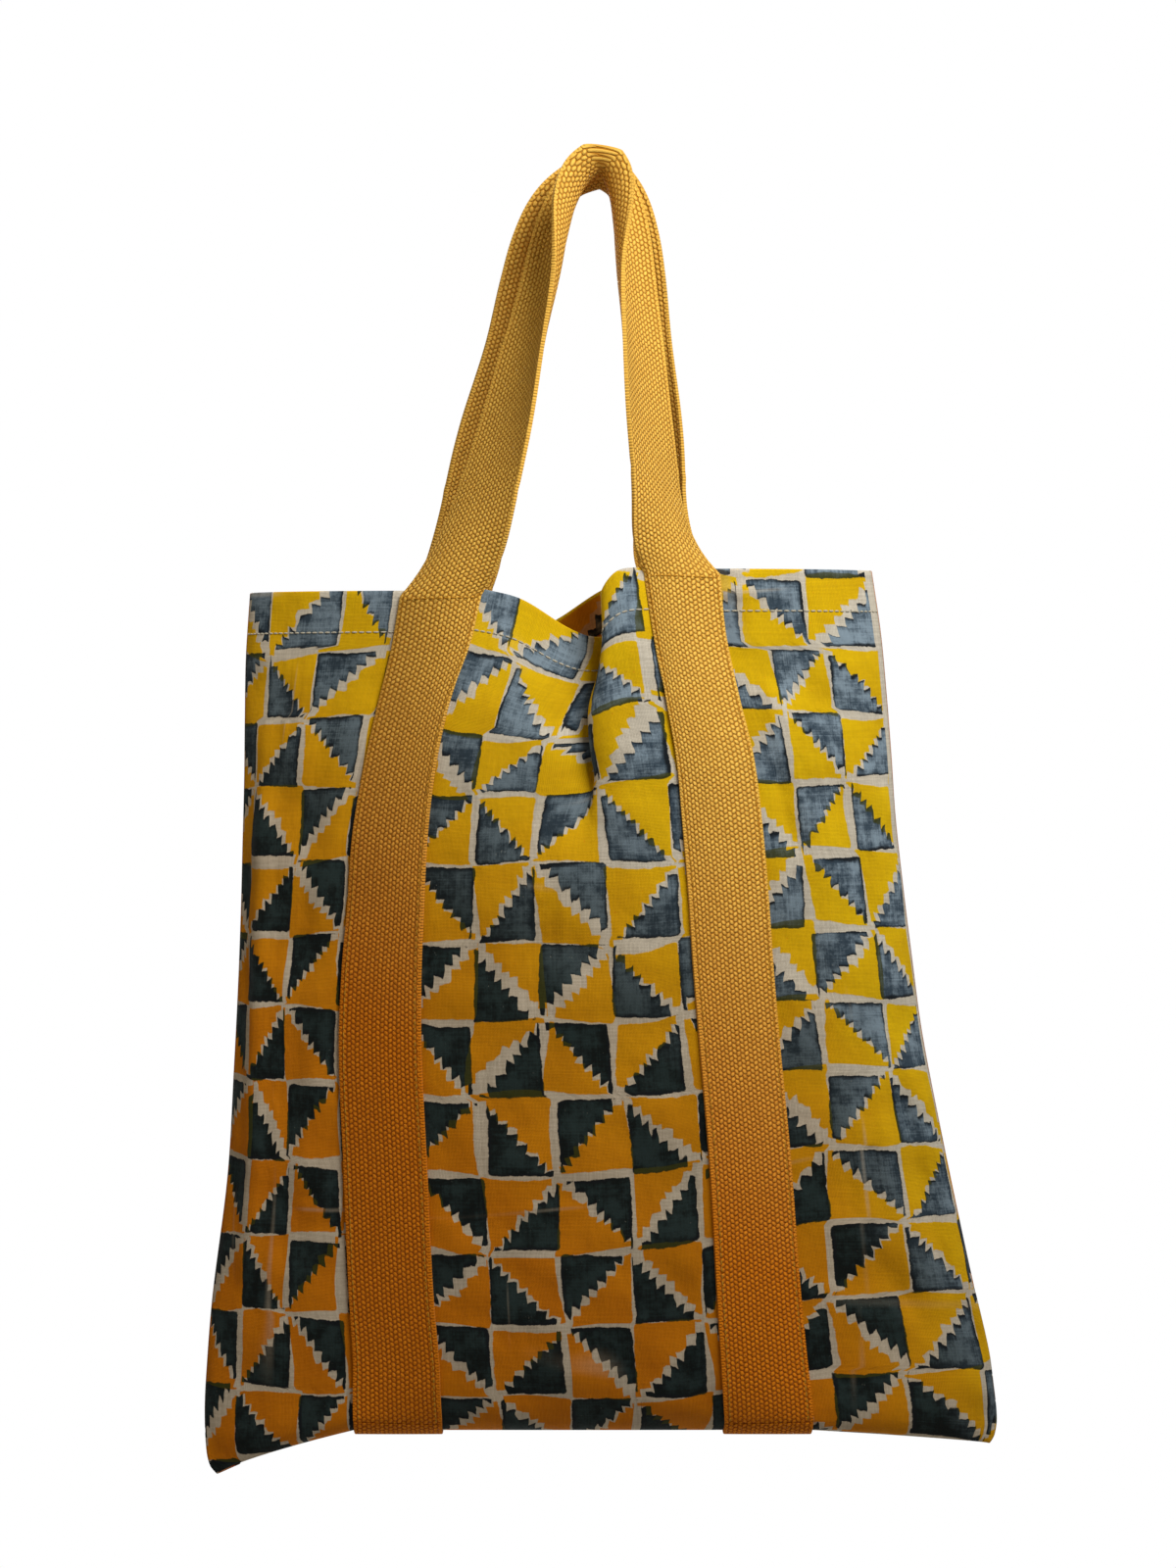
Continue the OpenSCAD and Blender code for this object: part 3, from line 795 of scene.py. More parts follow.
class Graph:
    """Adds nodes to one shader tree by plain calls."""

    def __init__(self, tree: Tree) -> None:
        """Starts on a tree."""
        self.tree = tree

    def add(self, kind: str, **settings: object) -> bpy.types.Node:
        """A new node with some of its settings."""
        node = self.tree.nodes.new(kind)
        for name, value in settings.items():
            setattr(node, name, value)
        return node

    def feed(self, socket: Socket, value: Value) -> None:
        """Links a socket, or sets its value."""
        if isinstance(value, Wire):
            self.tree.links.new(value.socket, socket)
        else:
            socket.default_value = value

    def made(self, kind: str, *values: Value, **settings: object) -> list[Wire]:
        """The outputs of a new node whose first inputs take some values.

        Args:
            kind: The node's type.
            values: What its inputs take, in order.
            settings: Its settings.

        Returns:
            All its outputs.
        """
        node = self.add(kind, **settings)
        for socket, value in zip(node.inputs, values):
            self.feed(socket, value)
        return [Wire(self, socket) for socket in node.outputs]

    def math(self, operation: str, *values: Value) -> Wire:
        """The result of a math node."""
        return self.made("ShaderNodeMath", *values, operation=operation)[0]

    def floor(self, value: Value) -> Wire:
        """The whole number below a value."""
        return self.math("FLOOR", value)

    def most(self, a: Value, b: Value) -> Wire:
        """The larger of two values."""
        return self.math("MAXIMUM", a, b)

    def least(self, a: Value, b: Value, rounding: float) -> Wire:
        """The smaller of two values, rounded where they meet."""
        return self.math("SMOOTH_MIN", a, b, rounding)

    def smooth(
        self, value: Value, low: Value, high: Value, start: float = 0.0, end: float = 1.0
    ) -> Wire:
        """A smooth step from start to end as a value goes from low to high."""
        kind = "ShaderNodeMapRange"
        return self.made(kind, value, low, high, start, end, interpolation_type="SMOOTHSTEP")[0]

    def vector(self, x: Value, y: Value, z: Value = 0.0) -> Wire:
        """Three values as a vector."""
        return self.made("ShaderNodeCombineXYZ", x, y, z)[0]

    def parts(self, vector: Wire) -> list[Wire]:
        """The three values of a vector."""
        return self.made("ShaderNodeSeparateXYZ", vector)

    def chance(self, x: Value, y: Value) -> Wire:
        """A chance value about 0 from -0.5 to 0.5 for each whole x and y."""
        kind = "ShaderNodeTexWhiteNoise"
        return self.made(kind, self.vector(x, y), noise_dimensions="2D")[0] - 0.5

    def chances(self, x: Value, y: Value, seed: Value) -> list[Wire]:
        """Three chance values from 0 to 1 for each whole x and y."""
        kind = "ShaderNodeTexWhiteNoise"
        colour = self.made(kind, self.vector(x, y, seed), noise_dimensions="3D")[1]
        return self.made("ShaderNodeSeparateColor", colour)

    def noise(
        self,
        place: Wire,
        scale: float,
        detail: float = 2.0,
        stretch: tuple = (1, 1, 1),
        roughness: float = 0.5,
    ) -> Wire:
        """Noise about 0 from -0.5 to 0.5.

        Args:
            place: Where it is read.
            scale: Features a metre.
            detail: Finer layers of it.
            stretch: Shares of the scale along each axis.
            roughness: How strong the finer layers are.

        Returns:
            The noise.
        """
        still, scales = (0, 0, 0), [scale * s for s in stretch]
        at = self.made("ShaderNodeMapping", place, still, still, scales)[0]
        return self.made("ShaderNodeTexNoise", at, 0.0, 1.0, detail, roughness)[0] - 0.5

    def patches(self, place: Wire, look: Patches) -> Wire:
        """A mask of soft patches."""
        noise = self.noise(place, look.scale, look.detail)
        return self.smooth(noise, look.low, look.high, look.start, look.end)

    def blend(self, share: Value, a: Value, b: Value, kind: str = "MIX") -> Wire:
        """Colour b over colour a by a share."""
        node = self.add("ShaderNodeMix", data_type="RGBA", blend_type=kind)
        factor_and_colours = [node.inputs[k] for k in (0, 6, 7)]
        for socket, value in zip(factor_and_colours, (share, a, b)):
            self.feed(socket, value)
        return Wire(self, node.outputs[2])

    def tint(self, share: Value, colour: Value, tint: Value) -> Wire:
        """A colour times a tint, by a share."""
        return self.blend(share, colour, tint, "MULTIPLY")

    def bump(self, height: Wire, distance: float, strength: float) -> Wire:
        """The normal of a surface with a height."""
        node = self.add("ShaderNodeBump")
        node.inputs["Strength"].default_value = strength
        node.inputs["Distance"].default_value = distance
        self.feed(node.inputs["Height"], height)
        return Wire(self, node.outputs[0])

    def flat_place(self) -> Wire:
        """The flat place of a sheet, from its own UV map."""
        return self.made("ShaderNodeUVMap", uv_map="Flat")[0]

    def object_place(self) -> Wire:
        """A place in the bag's frame."""
        return Wire(self, self.add("ShaderNodeTexCoord").outputs["Object"])

    def place(self, group: Tree, **values: Value) -> dict[str, Wire]:
        """A node group in this tree.

        Args:
            group: The group.
            values: What its inputs take, by name.

        Returns:
            Its outputs by name.
        """
        node = self.add("ShaderNodeGroup", node_tree=group)
        for name, value in values.items():
            self.feed(node.inputs[name], value)
        return {socket.name: Wire(self, socket) for socket in node.outputs}

    def give(self, **results: Wire) -> Tree:
        """Ends a node group with its outputs.

        Args:
            results: What the outputs give, by name.

        Returns:
            The group.
        """
        out = self.add("NodeGroupOutput")
        for name, value in results.items():
            self.tree.interface.new_socket(name, in_out="OUTPUT", socket_type="NodeSocketFloat")
            self.feed(out.inputs[name], value)
        return self.tree

    def shade(self, **inputs: Value) -> None:
        """Feeds a material's shader by name; a space in a name is written as _."""
        shader = self.tree.nodes["Principled BSDF"]
        for name, value in inputs.items():
            self.feed(shader.inputs[name.replace("_", " ")], value)


def new_group(name: str, **numbers: float) -> tuple[Graph, Wire, dict[str, Wire]]:
    """Starts a node group that is given a place and some numbers.

    Args:
        name: The group's name.
        numbers: Its numbers with their usual values.

    Returns:
        The group's graph, the place and the numbers by name.
    """
    tree = bpy.data.node_groups.new(name, "ShaderNodeTree")
    tree.interface.new_socket("Place", in_out="INPUT", socket_type="NodeSocketVector")
    for label, value in numbers.items():
        socket = tree.interface.new_socket(label, in_out="INPUT", socket_type="NodeSocketFloat")
        socket.default_value = value
    graph = Graph(tree)
    given = graph.add("NodeGroupInput").outputs
    return graph, Wire(graph, given["Place"]), {k: Wire(graph, given[k]) for k in numbers}


def new_material(name: str, **inputs: Value) -> tuple[Graph, Material]:
    """Starts a material.

    Args:
        name: Its name.
        inputs: What its shader takes, by name.

    Returns:
        The material's graph and the material.
    """
    material = bpy.data.materials.new(name)
    material.use_nodes = True
    graph = Graph(material.node_tree)
    graph.shade(**inputs)
    return graph, material


def srgb(*channels: int) -> tuple[float, ...]:
    """A colour given as on a colour card, from 0 to 255, in linear light."""
    shares = [c / 255 for c in channels]
    linear = (c / 12.92 if c <= 0.04045 else ((c + 0.055) / 1.055) ** 2.4 for c in shares)
    return (*linear, 1.0)


# ---- Effects that several finishes share


@dataclass(frozen=True)
class Effects:
    """The node groups that the finishes are put together from."""

    lay: PrintLay = PrintLay()
    teeth: float = 8.0
    tooth_shift: float = 1.9
    cell_play: float = 0.03
    centre_reach: tuple = (0.06, 0.22)
    corner_rounding: float = 0.08
    side_rounding: float = 0.09
    tooth_rounding: float = 0.03
    rim: tuple = (-0.004, 0.008)
    thread_pitch: float = 0.00062
    thread_sway: float = 0.0006
    slubs: float = 45.0
    bump_across: float = 0.0020
    bump_along: float = 0.0023
    bump_fill: tuple = (2.05, 1.9)
    strands: int = 5
    rib_pitch: float = 0.0013
    webbing_half: float = 0.02
    webbing_edge: tuple = (0.0006, 0.0016)
    webbing_drift: tuple = (0.0006, 0.0005)
    # painted shade: its slopes along x and z, where it starts, and from where the right margin is painted
    # lighter
    shade_slopes: tuple = (-1.9, -3.0)
    shade_start: float = -0.6
    lit_margin: float = 0.10
    margin_slope: float = -4.5
    fold_crack: float = 0.006
    fold_ridge: float = 0.03
    # folds that run down and across: how many a metre, their stretch, and where they show
    old_folds: tuple = (
        (9.0, (1.0, 0.10, 1.0), Patches(11.0, 1, 0.04, 0.16)),
        (7.0, (0.14, 1.0, 1.0), Patches(13.0, 1, 0.04, 0.16)),
    )

    def canvas_weave(self) -> Tree:
        """Plain weave of uneven cotton threads.

        Returns:
            A group with a height and a tone that differs from thread to thread.
        """
        g, place, _ = new_group("Canvas weave")
        x, y, _ = g.parts(place)
        threads, tones, bows = [], [], []
        for along_it, run, at in ((x, y, place), (y, x, g.vector(y + 3.1, x))):
            thread = (g.noise(at, 160, 2) * self.thread_sway + along_it) / self.thread_pitch
            number = g.floor(thread)
            threads.append(number)
            tones.append(g.chance(number, g.floor(run * self.slubs + number * 0.37)))
            bows.append(abs(g.math("SINE", thread * math.pi)))
        over = (threads[0] + threads[1]) % 2.0
        knit = bows[0] * over + bows[1] * (1.0 - over)
        tone = tones[0] + tones[1]
        return g.give(
            Height=(knit + bows[0] * bows[1]) * 0.5 + tone * 0.25,
            Tone=(tone + g.noise(place, 900, 1)) * 0.5,
        )

    def webbing_weave(self) -> Tree:
        """Heavy webbing: rows of plump stitches set like bricks, with a smoother edge on each side.

        Returns:
            A group with a height, a tone and the part that is the edge.
        """
        g, place, _ = new_group("Webbing weave")
        x, y, _ = g.parts(place)
        drift = g.noise(place, 120, 2)
        a = (drift * self.webbing_drift[0] + x) / self.bump_across
        number = g.floor(a)
        odd = number % 2.0
        b = (drift * self.webbing_drift[1] + y) / self.bump_along + odd * 0.5
        off = g.math("FRACT", b) - 0.5
        slant = off * (odd * 0.5 - 0.25) + g.math("FRACT", a) - 0.5
        wide, long = slant * self.bump_fill[0], off * self.bump_fill[1]
        plump = g.math("SQRT", g.most(1.0 - (wide * wide + long * long), 0.0))
        strand = g.math("SINE", (off * 0.25 + slant) * (FULL_TURN * self.strands))
        chance = g.chance(number, g.floor(b))
        edge = g.smooth(self.webbing_half - abs(x), *self.webbing_edge, 1.0, 0.0)
        rib = abs(g.math("SINE", y * (math.pi / self.rib_pitch)))
        body = plump + strand * 0.05 + chance * 0.12
        return g.give(
            Height=mix(body, rib * 0.3 + 0.5, edge),
            Tone=chance * 0.6 + strand * 0.12 + g.noise(place, 60, 3),
            Edge=edge,
        )

    def block_print(self) -> Tree:
        """One ink of the hand-printed pattern: in each cell a right-angled triangle, its long side stepped.

        The corner with the right angle lies low or high in p + q; "Far" at 1 takes the other corner.

        Returns:
            A group with the printed part, how far inside its rim a place is and a number for each cell.
        """
        usual = {"Far": 0.0, "Slant": 0.0, "Gap": 0.1, "Inset": 0.03, "Notch": 0.0}
        usual |= {"Seed": 0.0, "Wobble": 1.0, "Stray": 0.004, "Rough": 0.03}
        g, place, given = new_group("Block print", **usual)
        far, seed, rough, inset = (given[k] for k in ("Far", "Seed", "Rough", "Inset"))
        x, y, _ = g.parts(place)
        seeded = g.vector(x, y, seed)
        lay = self.lay
        cells = []
        for value, at, first, size in (
            (x, seeded, lay.left, lay.cell_width),
            (y, g.vector(y, x, seed + 0.7), lay.top, lay.cell_height),
        ):
            stray = g.noise(at, 13, 1, (1, 1, 17)) * given["Stray"]
            cells.append((value - first * MM + stray) / (size * MM))
        across, down = cells
        i, j = g.floor(across), g.floor(down)
        shared, own = g.chances(i, j, 0.0), g.chances(i, j, seed)

        def turned(share: Wire, flip: Wire) -> Wire:
            """1 - share where flip is 1."""
            return (1.0 - share * 2.0) * flip + share

        p = turned(turned(across - i, j % 2.0), far) + (own[0] - 0.5) * self.cell_play
        q = turned(turned(down - j, i % 2.0), far) + (own[1] - 0.5) * self.cell_play
        phase = g.noise(place, 60, 2) * self.tooth_shift + shared[2] * 0.9
        tooth = g.math("FRACT", (1.0 - far * 2.0) * phase + p * self.teeth)
        step = tooth * (1.0 - given["Slant"]) / self.teeth
        centre = g.smooth(abs(p - q), *self.centre_reach, 1.0, 0.0)
        gap = given["Gap"] + centre * given["Notch"]
        gap = gap + g.noise(place, 75, 1) * 0.05 + g.noise(seeded, 190, 1) * 0.07
        long_side = (1.0 - p) + step - (q + gap)
        in_p = g.noise(seeded, 30, 1) * rough + inset
        in_q = g.noise(g.vector(y, seed, x), 30, 1) * rough + inset
        short = g.least(p - in_p, q - in_q, self.corner_rounding)
        ends = g.least(1.0 - (p + in_p), 1.0 - (q + in_q), self.corner_rounding)
        depth = g.least(g.least(long_side, short, self.tooth_rounding), ends, self.side_rounding)
        wobble = g.noise(seeded, 210, 2) * 0.055 + g.noise(seeded, 1500, 1) * 0.02
        depth = depth + wobble * given["Wobble"]
        return g.give(Ink=g.smooth(depth, *self.rim), Depth=depth, Chance=own[2])

    def painted_shade_gradient(self) -> Tree:
        """Painted shade: the colours are painted darker and warmer towards the foot and the left, and
        lighter again past the right margin.

        Returns:
            A group with that share at a place of the bag.
        """
        g, place, _ = new_group("Painted shade gradient")
        x, _, z = g.parts(place)
        # painted shade grows towards the left and the foot
        share = x * self.shade_slopes[0] + z * self.shade_slopes[1] + self.shade_start
        margin = g.most(x - self.lit_margin, 0.0)
        return g.give(Share=g.smooth(margin * self.margin_slope + share, 0.0, 1.0))

    def fine_creases(self) -> Tree:
        """Soft crumples of cotton, and a few straight creases where it was once folded.

        Returns:
            A group with a height and the lines where ink has worn off a little.
        """
        g, place, _ = new_group("Fine creases")
        lines, ridges = [], []
        for scale, stretch, patches in self.old_folds:
            near = abs(g.noise(place, scale, 1, stretch))
            here = g.patches(place, patches)
            lines.append(g.smooth(near, 0.0, self.fold_crack, 1.0, 0.0) * here)
            ridges.append(g.smooth(near, 0.0, self.fold_ridge, 1.0, 0.0) * here)
        soft = g.noise(place, 70, 3, (1, 0.6, 1))
        return g.give(Height=(ridges[0] + ridges[1]) * 0.5 + soft * 0.8, Crack=g.most(*lines))


@dataclass
class Finishes:
    """Builds each finish once: the printed canvas, its wrong side, the webbing and the threads."""

    effects: Effects = field(default_factory=Effects)
    cotton: tuple = srgb(210, 203, 187)
    cotton_dull: tuple = srgb(192, 184, 168)
    cotton_stain: tuple = srgb(192, 172, 146)
    yellow: tuple = srgb(224, 184, 8)
    # the yellow ink in full painted shade, at the foot and the left; the orange dots in the ink reuse it
    yellow_low: tuple = srgb(216, 132, 6)
    yellow_thin: tuple = srgb(222, 206, 120)
    blue: tuple = srgb(134, 152, 166)
    blue_deep: tuple = srgb(58, 74, 88)
    # the blue ink in full painted shade, at the foot and the left
    blue_low: tuple = srgb(38, 54, 56)
    blue_low_deep: tuple = srgb(4, 14, 14)
    ink_rim: tuple = srgb(12, 18, 24)
    ink_speck: tuple = srgb(158, 164, 158)
    overprint: tuple = srgb(66, 68, 18)
    # painted shade in the low places of the weave
    weave_hollow_shade: tuple = srgb(40, 30, 18)
    # painted shade that dims and warms every colour towards the foot and the left
    low_tint: tuple = srgb(235, 227, 218)
    # painted shade inside the mouth, on the turned-in hem
    mouth_shade_tint: tuple = srgb(236, 166, 90)
    # warm tint of the inside face: ink soaked through the cotton, deepened as painted shade inside the bag
    soaked_and_shade_tint: tuple = srgb(255, 188, 150)
    ochre: tuple = srgb(255, 210, 98)
    # the webbing in full painted shade, at the foot and the left
    ochre_low: tuple = srgb(226, 134, 20)
    ochre_sheen: tuple = srgb(255, 214, 140)
    ochre_fuzz: tuple = srgb(240, 196, 110)
    # painted shade between the webbing's stitches
    stitch_gap_shade_tint: tuple = srgb(192, 152, 88)
    ochre_tone_tint: tuple = srgb(214, 196, 180)
    ochre_edge_tint: tuple = srgb(206, 196, 184)
    stains: Patches = Patches(14, 3, -0.25, 0.3, 0.0, 0.25)
    dots: Patches = Patches(700, 1, 0.2, 0.26, 0.0, 0.5)
    fuzz: Patches = Patches(900, 2, 0.16, 0.3, 0.0, 0.15)
    shine: float = 0.06
    relief: float = 0.0009
    weave_height: float = 0.16
    crease_height: float = 3.2
    film_height: float = 0.05
    crack_wear: float = 0.3
    # painted shade on the turned-in hem inside the mouth: from where it starts down the cloth, and how far
    # across
    hem_band: tuple = (-0.0135, -0.0125)
    hem_band_across: tuple = (-0.048, -0.040)
    ghost: float = 0.9
    seam_strip: float = 0.1868
    seam_strip_end: float = 0.262
    twist_pitch: float = 0.0006
    thread_relief: float = 0.00008
    thread_shade: float = 0.55

    def __post_init__(self) -> None:
        """Builds the shared groups and the finishes."""
        self.canvas_weave = self.effects.canvas_weave()
        self.webbing_weave = self.effects.webbing_weave()
        self.block_print = self.effects.block_print()
        self.fine_creases = self.effects.fine_creases()
        self.painted_shade_gradient = self.effects.painted_shade_gradient()
        self.printed = self.printed_canvas("Printed canvas", True)
        self.wrong_side = self.printed_canvas("Canvas wrong side", False)
        self.webbing = self.ochre_webbing("Ochre webbing")
        self.threads = {
            "white_thread": self.thread("White thread", srgb(204, 197, 178)),
            "ochre_thread": self.thread("Ochre thread", srgb(198, 140, 44)),
        }

    def low_share(self, g: Graph) -> Wire:
        """How much painted shade falls at a place of the bag."""
        return g.place(self.painted_shade_gradient, Place=g.object_place())["Share"]

    def printed_canvas(self, name: str, printed: bool) -> Material:
        """Cotton canvas with the two inks on it, or their ghost on the wrong side.

        Args:
            name: The finish's name.
            printed: True for the right side, False for the wrong side.

        Returns:
            The material.
        """
        g, material = new_material(
            name, Roughness=0.82, Specular_IOR_Level=self.shine, Sheen_Weight=0.02, Sheen_Roughness=0.6
        )
        place = g.flat_place()
        across, down, _ = g.parts(place)
        weave = g.place(self.canvas_weave, Place=place)
        creases = g.place(self.fine_creases, Place=place)
        tone = weave["Tone"]
        dark = g.place(
            self.block_print, Place=place,
            Slant=-0.3, Gap=0.135, Inset=0.026, Seed=0.11, Stray=0.005, Rough=0.07,
        )
        light = g.place(
            self.block_print, Place=place, Far=1.0, Slant=0.05, Gap=0.085, Inset=0.006, Notch=0.045,
            Seed=0.52, Wobble=0.9, Stray=0.02, Rough=0.06,
        )
        inside = g.most(
            g.math("LESS_THAN", across, self.seam_strip), g.math("GREATER_THAN", down, self.seam_strip_end)
        )
        kept = (1.0 - creases["Crack"] * self.crack_wear) * (1.0 if printed else self.ghost)
        kept = inside * kept
        blue_ink, yellow_ink = dark["Ink"] * kept, light["Ink"] * kept
        # low is how much painted shade falls here
        low = self.low_share(g)

        base = g.blend(g.smooth(tone, -0.6, 0.6), self.cotton_dull, self.cotton)
        base = g.blend(g.patches(place, self.stains), base, self.cotton_stain)

        thin = g.smooth(g.noise(place, 26, 4) + tone * 0.07, -0.25, 0.2, 0.55, 0.0)
        # painted shade: the yellow goes to its shaded copy towards the foot and the left
        gold = g.tint(thin, g.blend(low, self.yellow, self.yellow_low), self.yellow_thin)
        # orange dots in the yellow ink, in its fully shaded colour
        gold = g.blend(g.patches(place, self.dots), gold, self.yellow_low)

        mottle = g.noise(place, 75, 5, roughness=0.7) * 1.6 + tone * 0.22
        mottle = mottle + (dark["Chance"] - 0.5) * 0.16 + g.smooth(dark["Depth"], 0.0, 0.14, -0.10, 0.03)
        # painted shade on the blue ink towards the foot and the left, where its light specks fade too
        blue_shade_share = low * 1.7 + 0.05
        specks = g.noise(place, 1100, 2, (1, 0.6, 1)) + g.noise(place, 90, 2) * 0.5
        specks = g.smooth(specks, 0.24, 0.36, 0.0, 0.7) * (1.0 - low * 0.4)
        rim = g.smooth(g.noise(place, 42, 2) * 0.16 + dark["Depth"], 0.005, 0.055, 0.95, 0.0)
        inky = g.blend(
            g.smooth(mottle, -0.24, 0.24),
            g.blend(blue_shade_share, self.blue_deep, self.blue_low_deep),
            g.blend(blue_shade_share, self.blue, self.blue_low),
        )
        inky = g.blend(rim, g.blend(specks, inky, self.ink_speck), self.ink_rim)
        inky = g.blend(yellow_ink * 0.75, inky, self.overprint)

        colour = g.blend(blue_ink, g.blend(yellow_ink, base, gold), inky)
        # painted shade where the weave lies low
        colour = g.blend(g.smooth(weave["Height"], 0.1, 0.9, 0.16, 0.0), colour, self.weave_hollow_shade)
        # painted shade: every colour dimmer and warmer towards the foot and the left
        colour = g.tint(g.smooth(low, 0.0, 0.6), colour, self.low_tint)
        # painted shade on the turned-in hem inside the mouth
        mouth_shade = g.smooth(down, *self.hem_band, 0.9, 0.0)
        mouth_shade = mouth_shade * g.smooth(across, *self.hem_band_across, 1.0, 0.0)
        colour = g.tint(mouth_shade, colour, self.mouth_shade_tint)
        # the inside face: ink soaked through, deepened as painted shade inside the bag
        if not printed:
            colour = g.tint(1.0, colour, self.soaked_and_shade_tint)

        film = g.most(blue_ink, yellow_ink * 0.8)
        height = weave["Height"] * self.weave_height + creases["Height"] * self.crease_height
        height = height + film * self.film_height
        roughness = film * -0.14 + tone * 0.08 + 0.86
        g.shade(Base_Color=colour, Roughness=roughness, Normal=g.bump(height, self.relief, 0.8))
        return material

    def ochre_webbing(self, name: str) -> Material:
        """Thick ochre cotton webbing, with painted shade between its stitches and towards the foot and the
        left.
        """
        g, material = new_material(
            name, Roughness=0.78, Specular_IOR_Level=self.shine,
            Sheen_Weight=0.1, Sheen_Roughness=0.5, Sheen_Tint=self.ochre_sheen,
        )
        place = g.flat_place()
        weave = g.place(self.webbing_weave, Place=place)
        height, tone = weave["Height"], weave["Tone"]
        # painted shade: the ochre goes to its shaded copy towards the foot and the left
        ochre_with_shade = g.blend(self.low_share(g) * 1.1 + 0.1, self.ochre, self.ochre_low)
        # painted shade between the stitches, lifted where the stitches rise
        stitch_gap_shade = g.tint(1.0, ochre_with_shade, self.stitch_gap_shade_tint)
        raised = g.smooth(height + g.noise(place, 500, 2) * 0.7, 0.0, 1.0)
        deep = g.smooth(tone, -0.5, 0.6, 0.4, 0.0)
        colour = g.blend(raised, stitch_gap_shade, ochre_with_shade)
        colour = g.blend(deep, colour, g.tint(1.0, ochre_with_shade, self.ochre_tone_tint))
        colour = g.blend(g.patches(place, self.fuzz), colour, self.ochre_fuzz)
        colour = g.blend(weave["Edge"] * 0.4, colour, g.tint(1.0, ochre_with_shade, self.ochre_edge_tint))
        normal = g.bump(height + g.noise(place, 700, 2) * 0.5, self.relief, 1.0)
        g.shade(Base_Color=colour, Roughness=tone * -0.1 + 0.8, Normal=normal)
        return material

    def thread(self, name: str, colour: tuple) -> Material:
        """Twisted sewing thread.

        Args:
            name: The finish's name.
            colour: Its colour.

        Returns:
            The material.
        """
        g, material = new_material(name, Roughness=0.6, Specular_IOR_Level=self.shine)
        place = g.object_place()
        x, y, z = g.parts(place)
        fuzz = g.noise(place, 2600, 1)
        strand = g.math("SINE", (x + y + z) * (FULL_TURN / self.twist_pitch)) + fuzz
        shaded = (*(self.thread_shade * c for c in colour[:3]), 1.0)
        g.shade(
            Base_Color=g.blend(g.smooth(strand, -1.2, 0.6), shaded, colour),
            Roughness=fuzz * 0.2 + 0.65,
            Normal=g.bump(strand, self.thread_relief, 0.8),
        )
        return material


# ---- The pieces


@dataclass
class Cloth:
    """The two canvas panels, each one sheet with its hem and seam allowances turned in."""

    shape: BagShape
    finishes: Finishes
    spacing: float = 0.002
    seam_allowance: float = 0.010
    foot_start: float = 0.36
    lay: PrintLay = field(default_factory=PrintLay)
    back_shift: tuple = (-0.026, -0.009)

    def columns(self) -> Array:
        """Flat places across, close together at the seams."""
        w, a = self.shape.half_width, self.seam_allowance
        half = steps(
            (0.0, self.spacing), (w - 0.004, 0.001), (w - 0.0005, 0.0005), (w, 0.0006),
            (w + 0.0012, 0.003), (w + a, 1.0),
        )
        return np.concatenate([-half[:0:-1], half])

    def rows(self) -> Array:
        """Flat places down, close together at the hem edge and the foot."""
        s = self.shape
        bend = s.panel_middle * math.pi / 2
        return steps(
            (-s.hem - bend, 0.003), (-bend, bend / 3), (bend, self.spacing), (self.foot_start, 0.0015),
            (s.height, 0.0004), (s.height + 0.0016, 0.003), (s.height + self.seam_allowance, 1.0),
        )

    def printed_place(self, side: Side, across: Array, down: Array) -> Array:
        """Where a flat place of a panel lies on the even grid of the print."""
        if side is Side.FRONT:
            return self.lay.layout(across, down)
        return self.lay.layout(-across + self.back_shift[0], down + self.back_shift[1])

    def panel(self, side: Side) -> Piece:
        """Builds and dresses one panel.

        Args:
            side: Which panel.

        Returns:
            The panel.
        """
        piece = woven_grid(
            f"{side.word}_canvas",
            self.columns(),
            self.rows(),
            partial(self.shape.cloth_place, side),
            partial(self.printed_place, side),
            side is Side.BACK,
            self.finishes.printed,
            self.finishes.wrong_side,
        )
        thicken(piece, self.shape.cloth, inner=1)
        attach(piece, "bag")
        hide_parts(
            f"{side.word}_panel", f"{side.word}_hem",
            "left_side_seam", "right_side_seam", "bottom_seam",
        )
        return piece

    def build(self) -> list[Piece]:
        """Both panels."""
        return [self.panel(side) for side in Side]


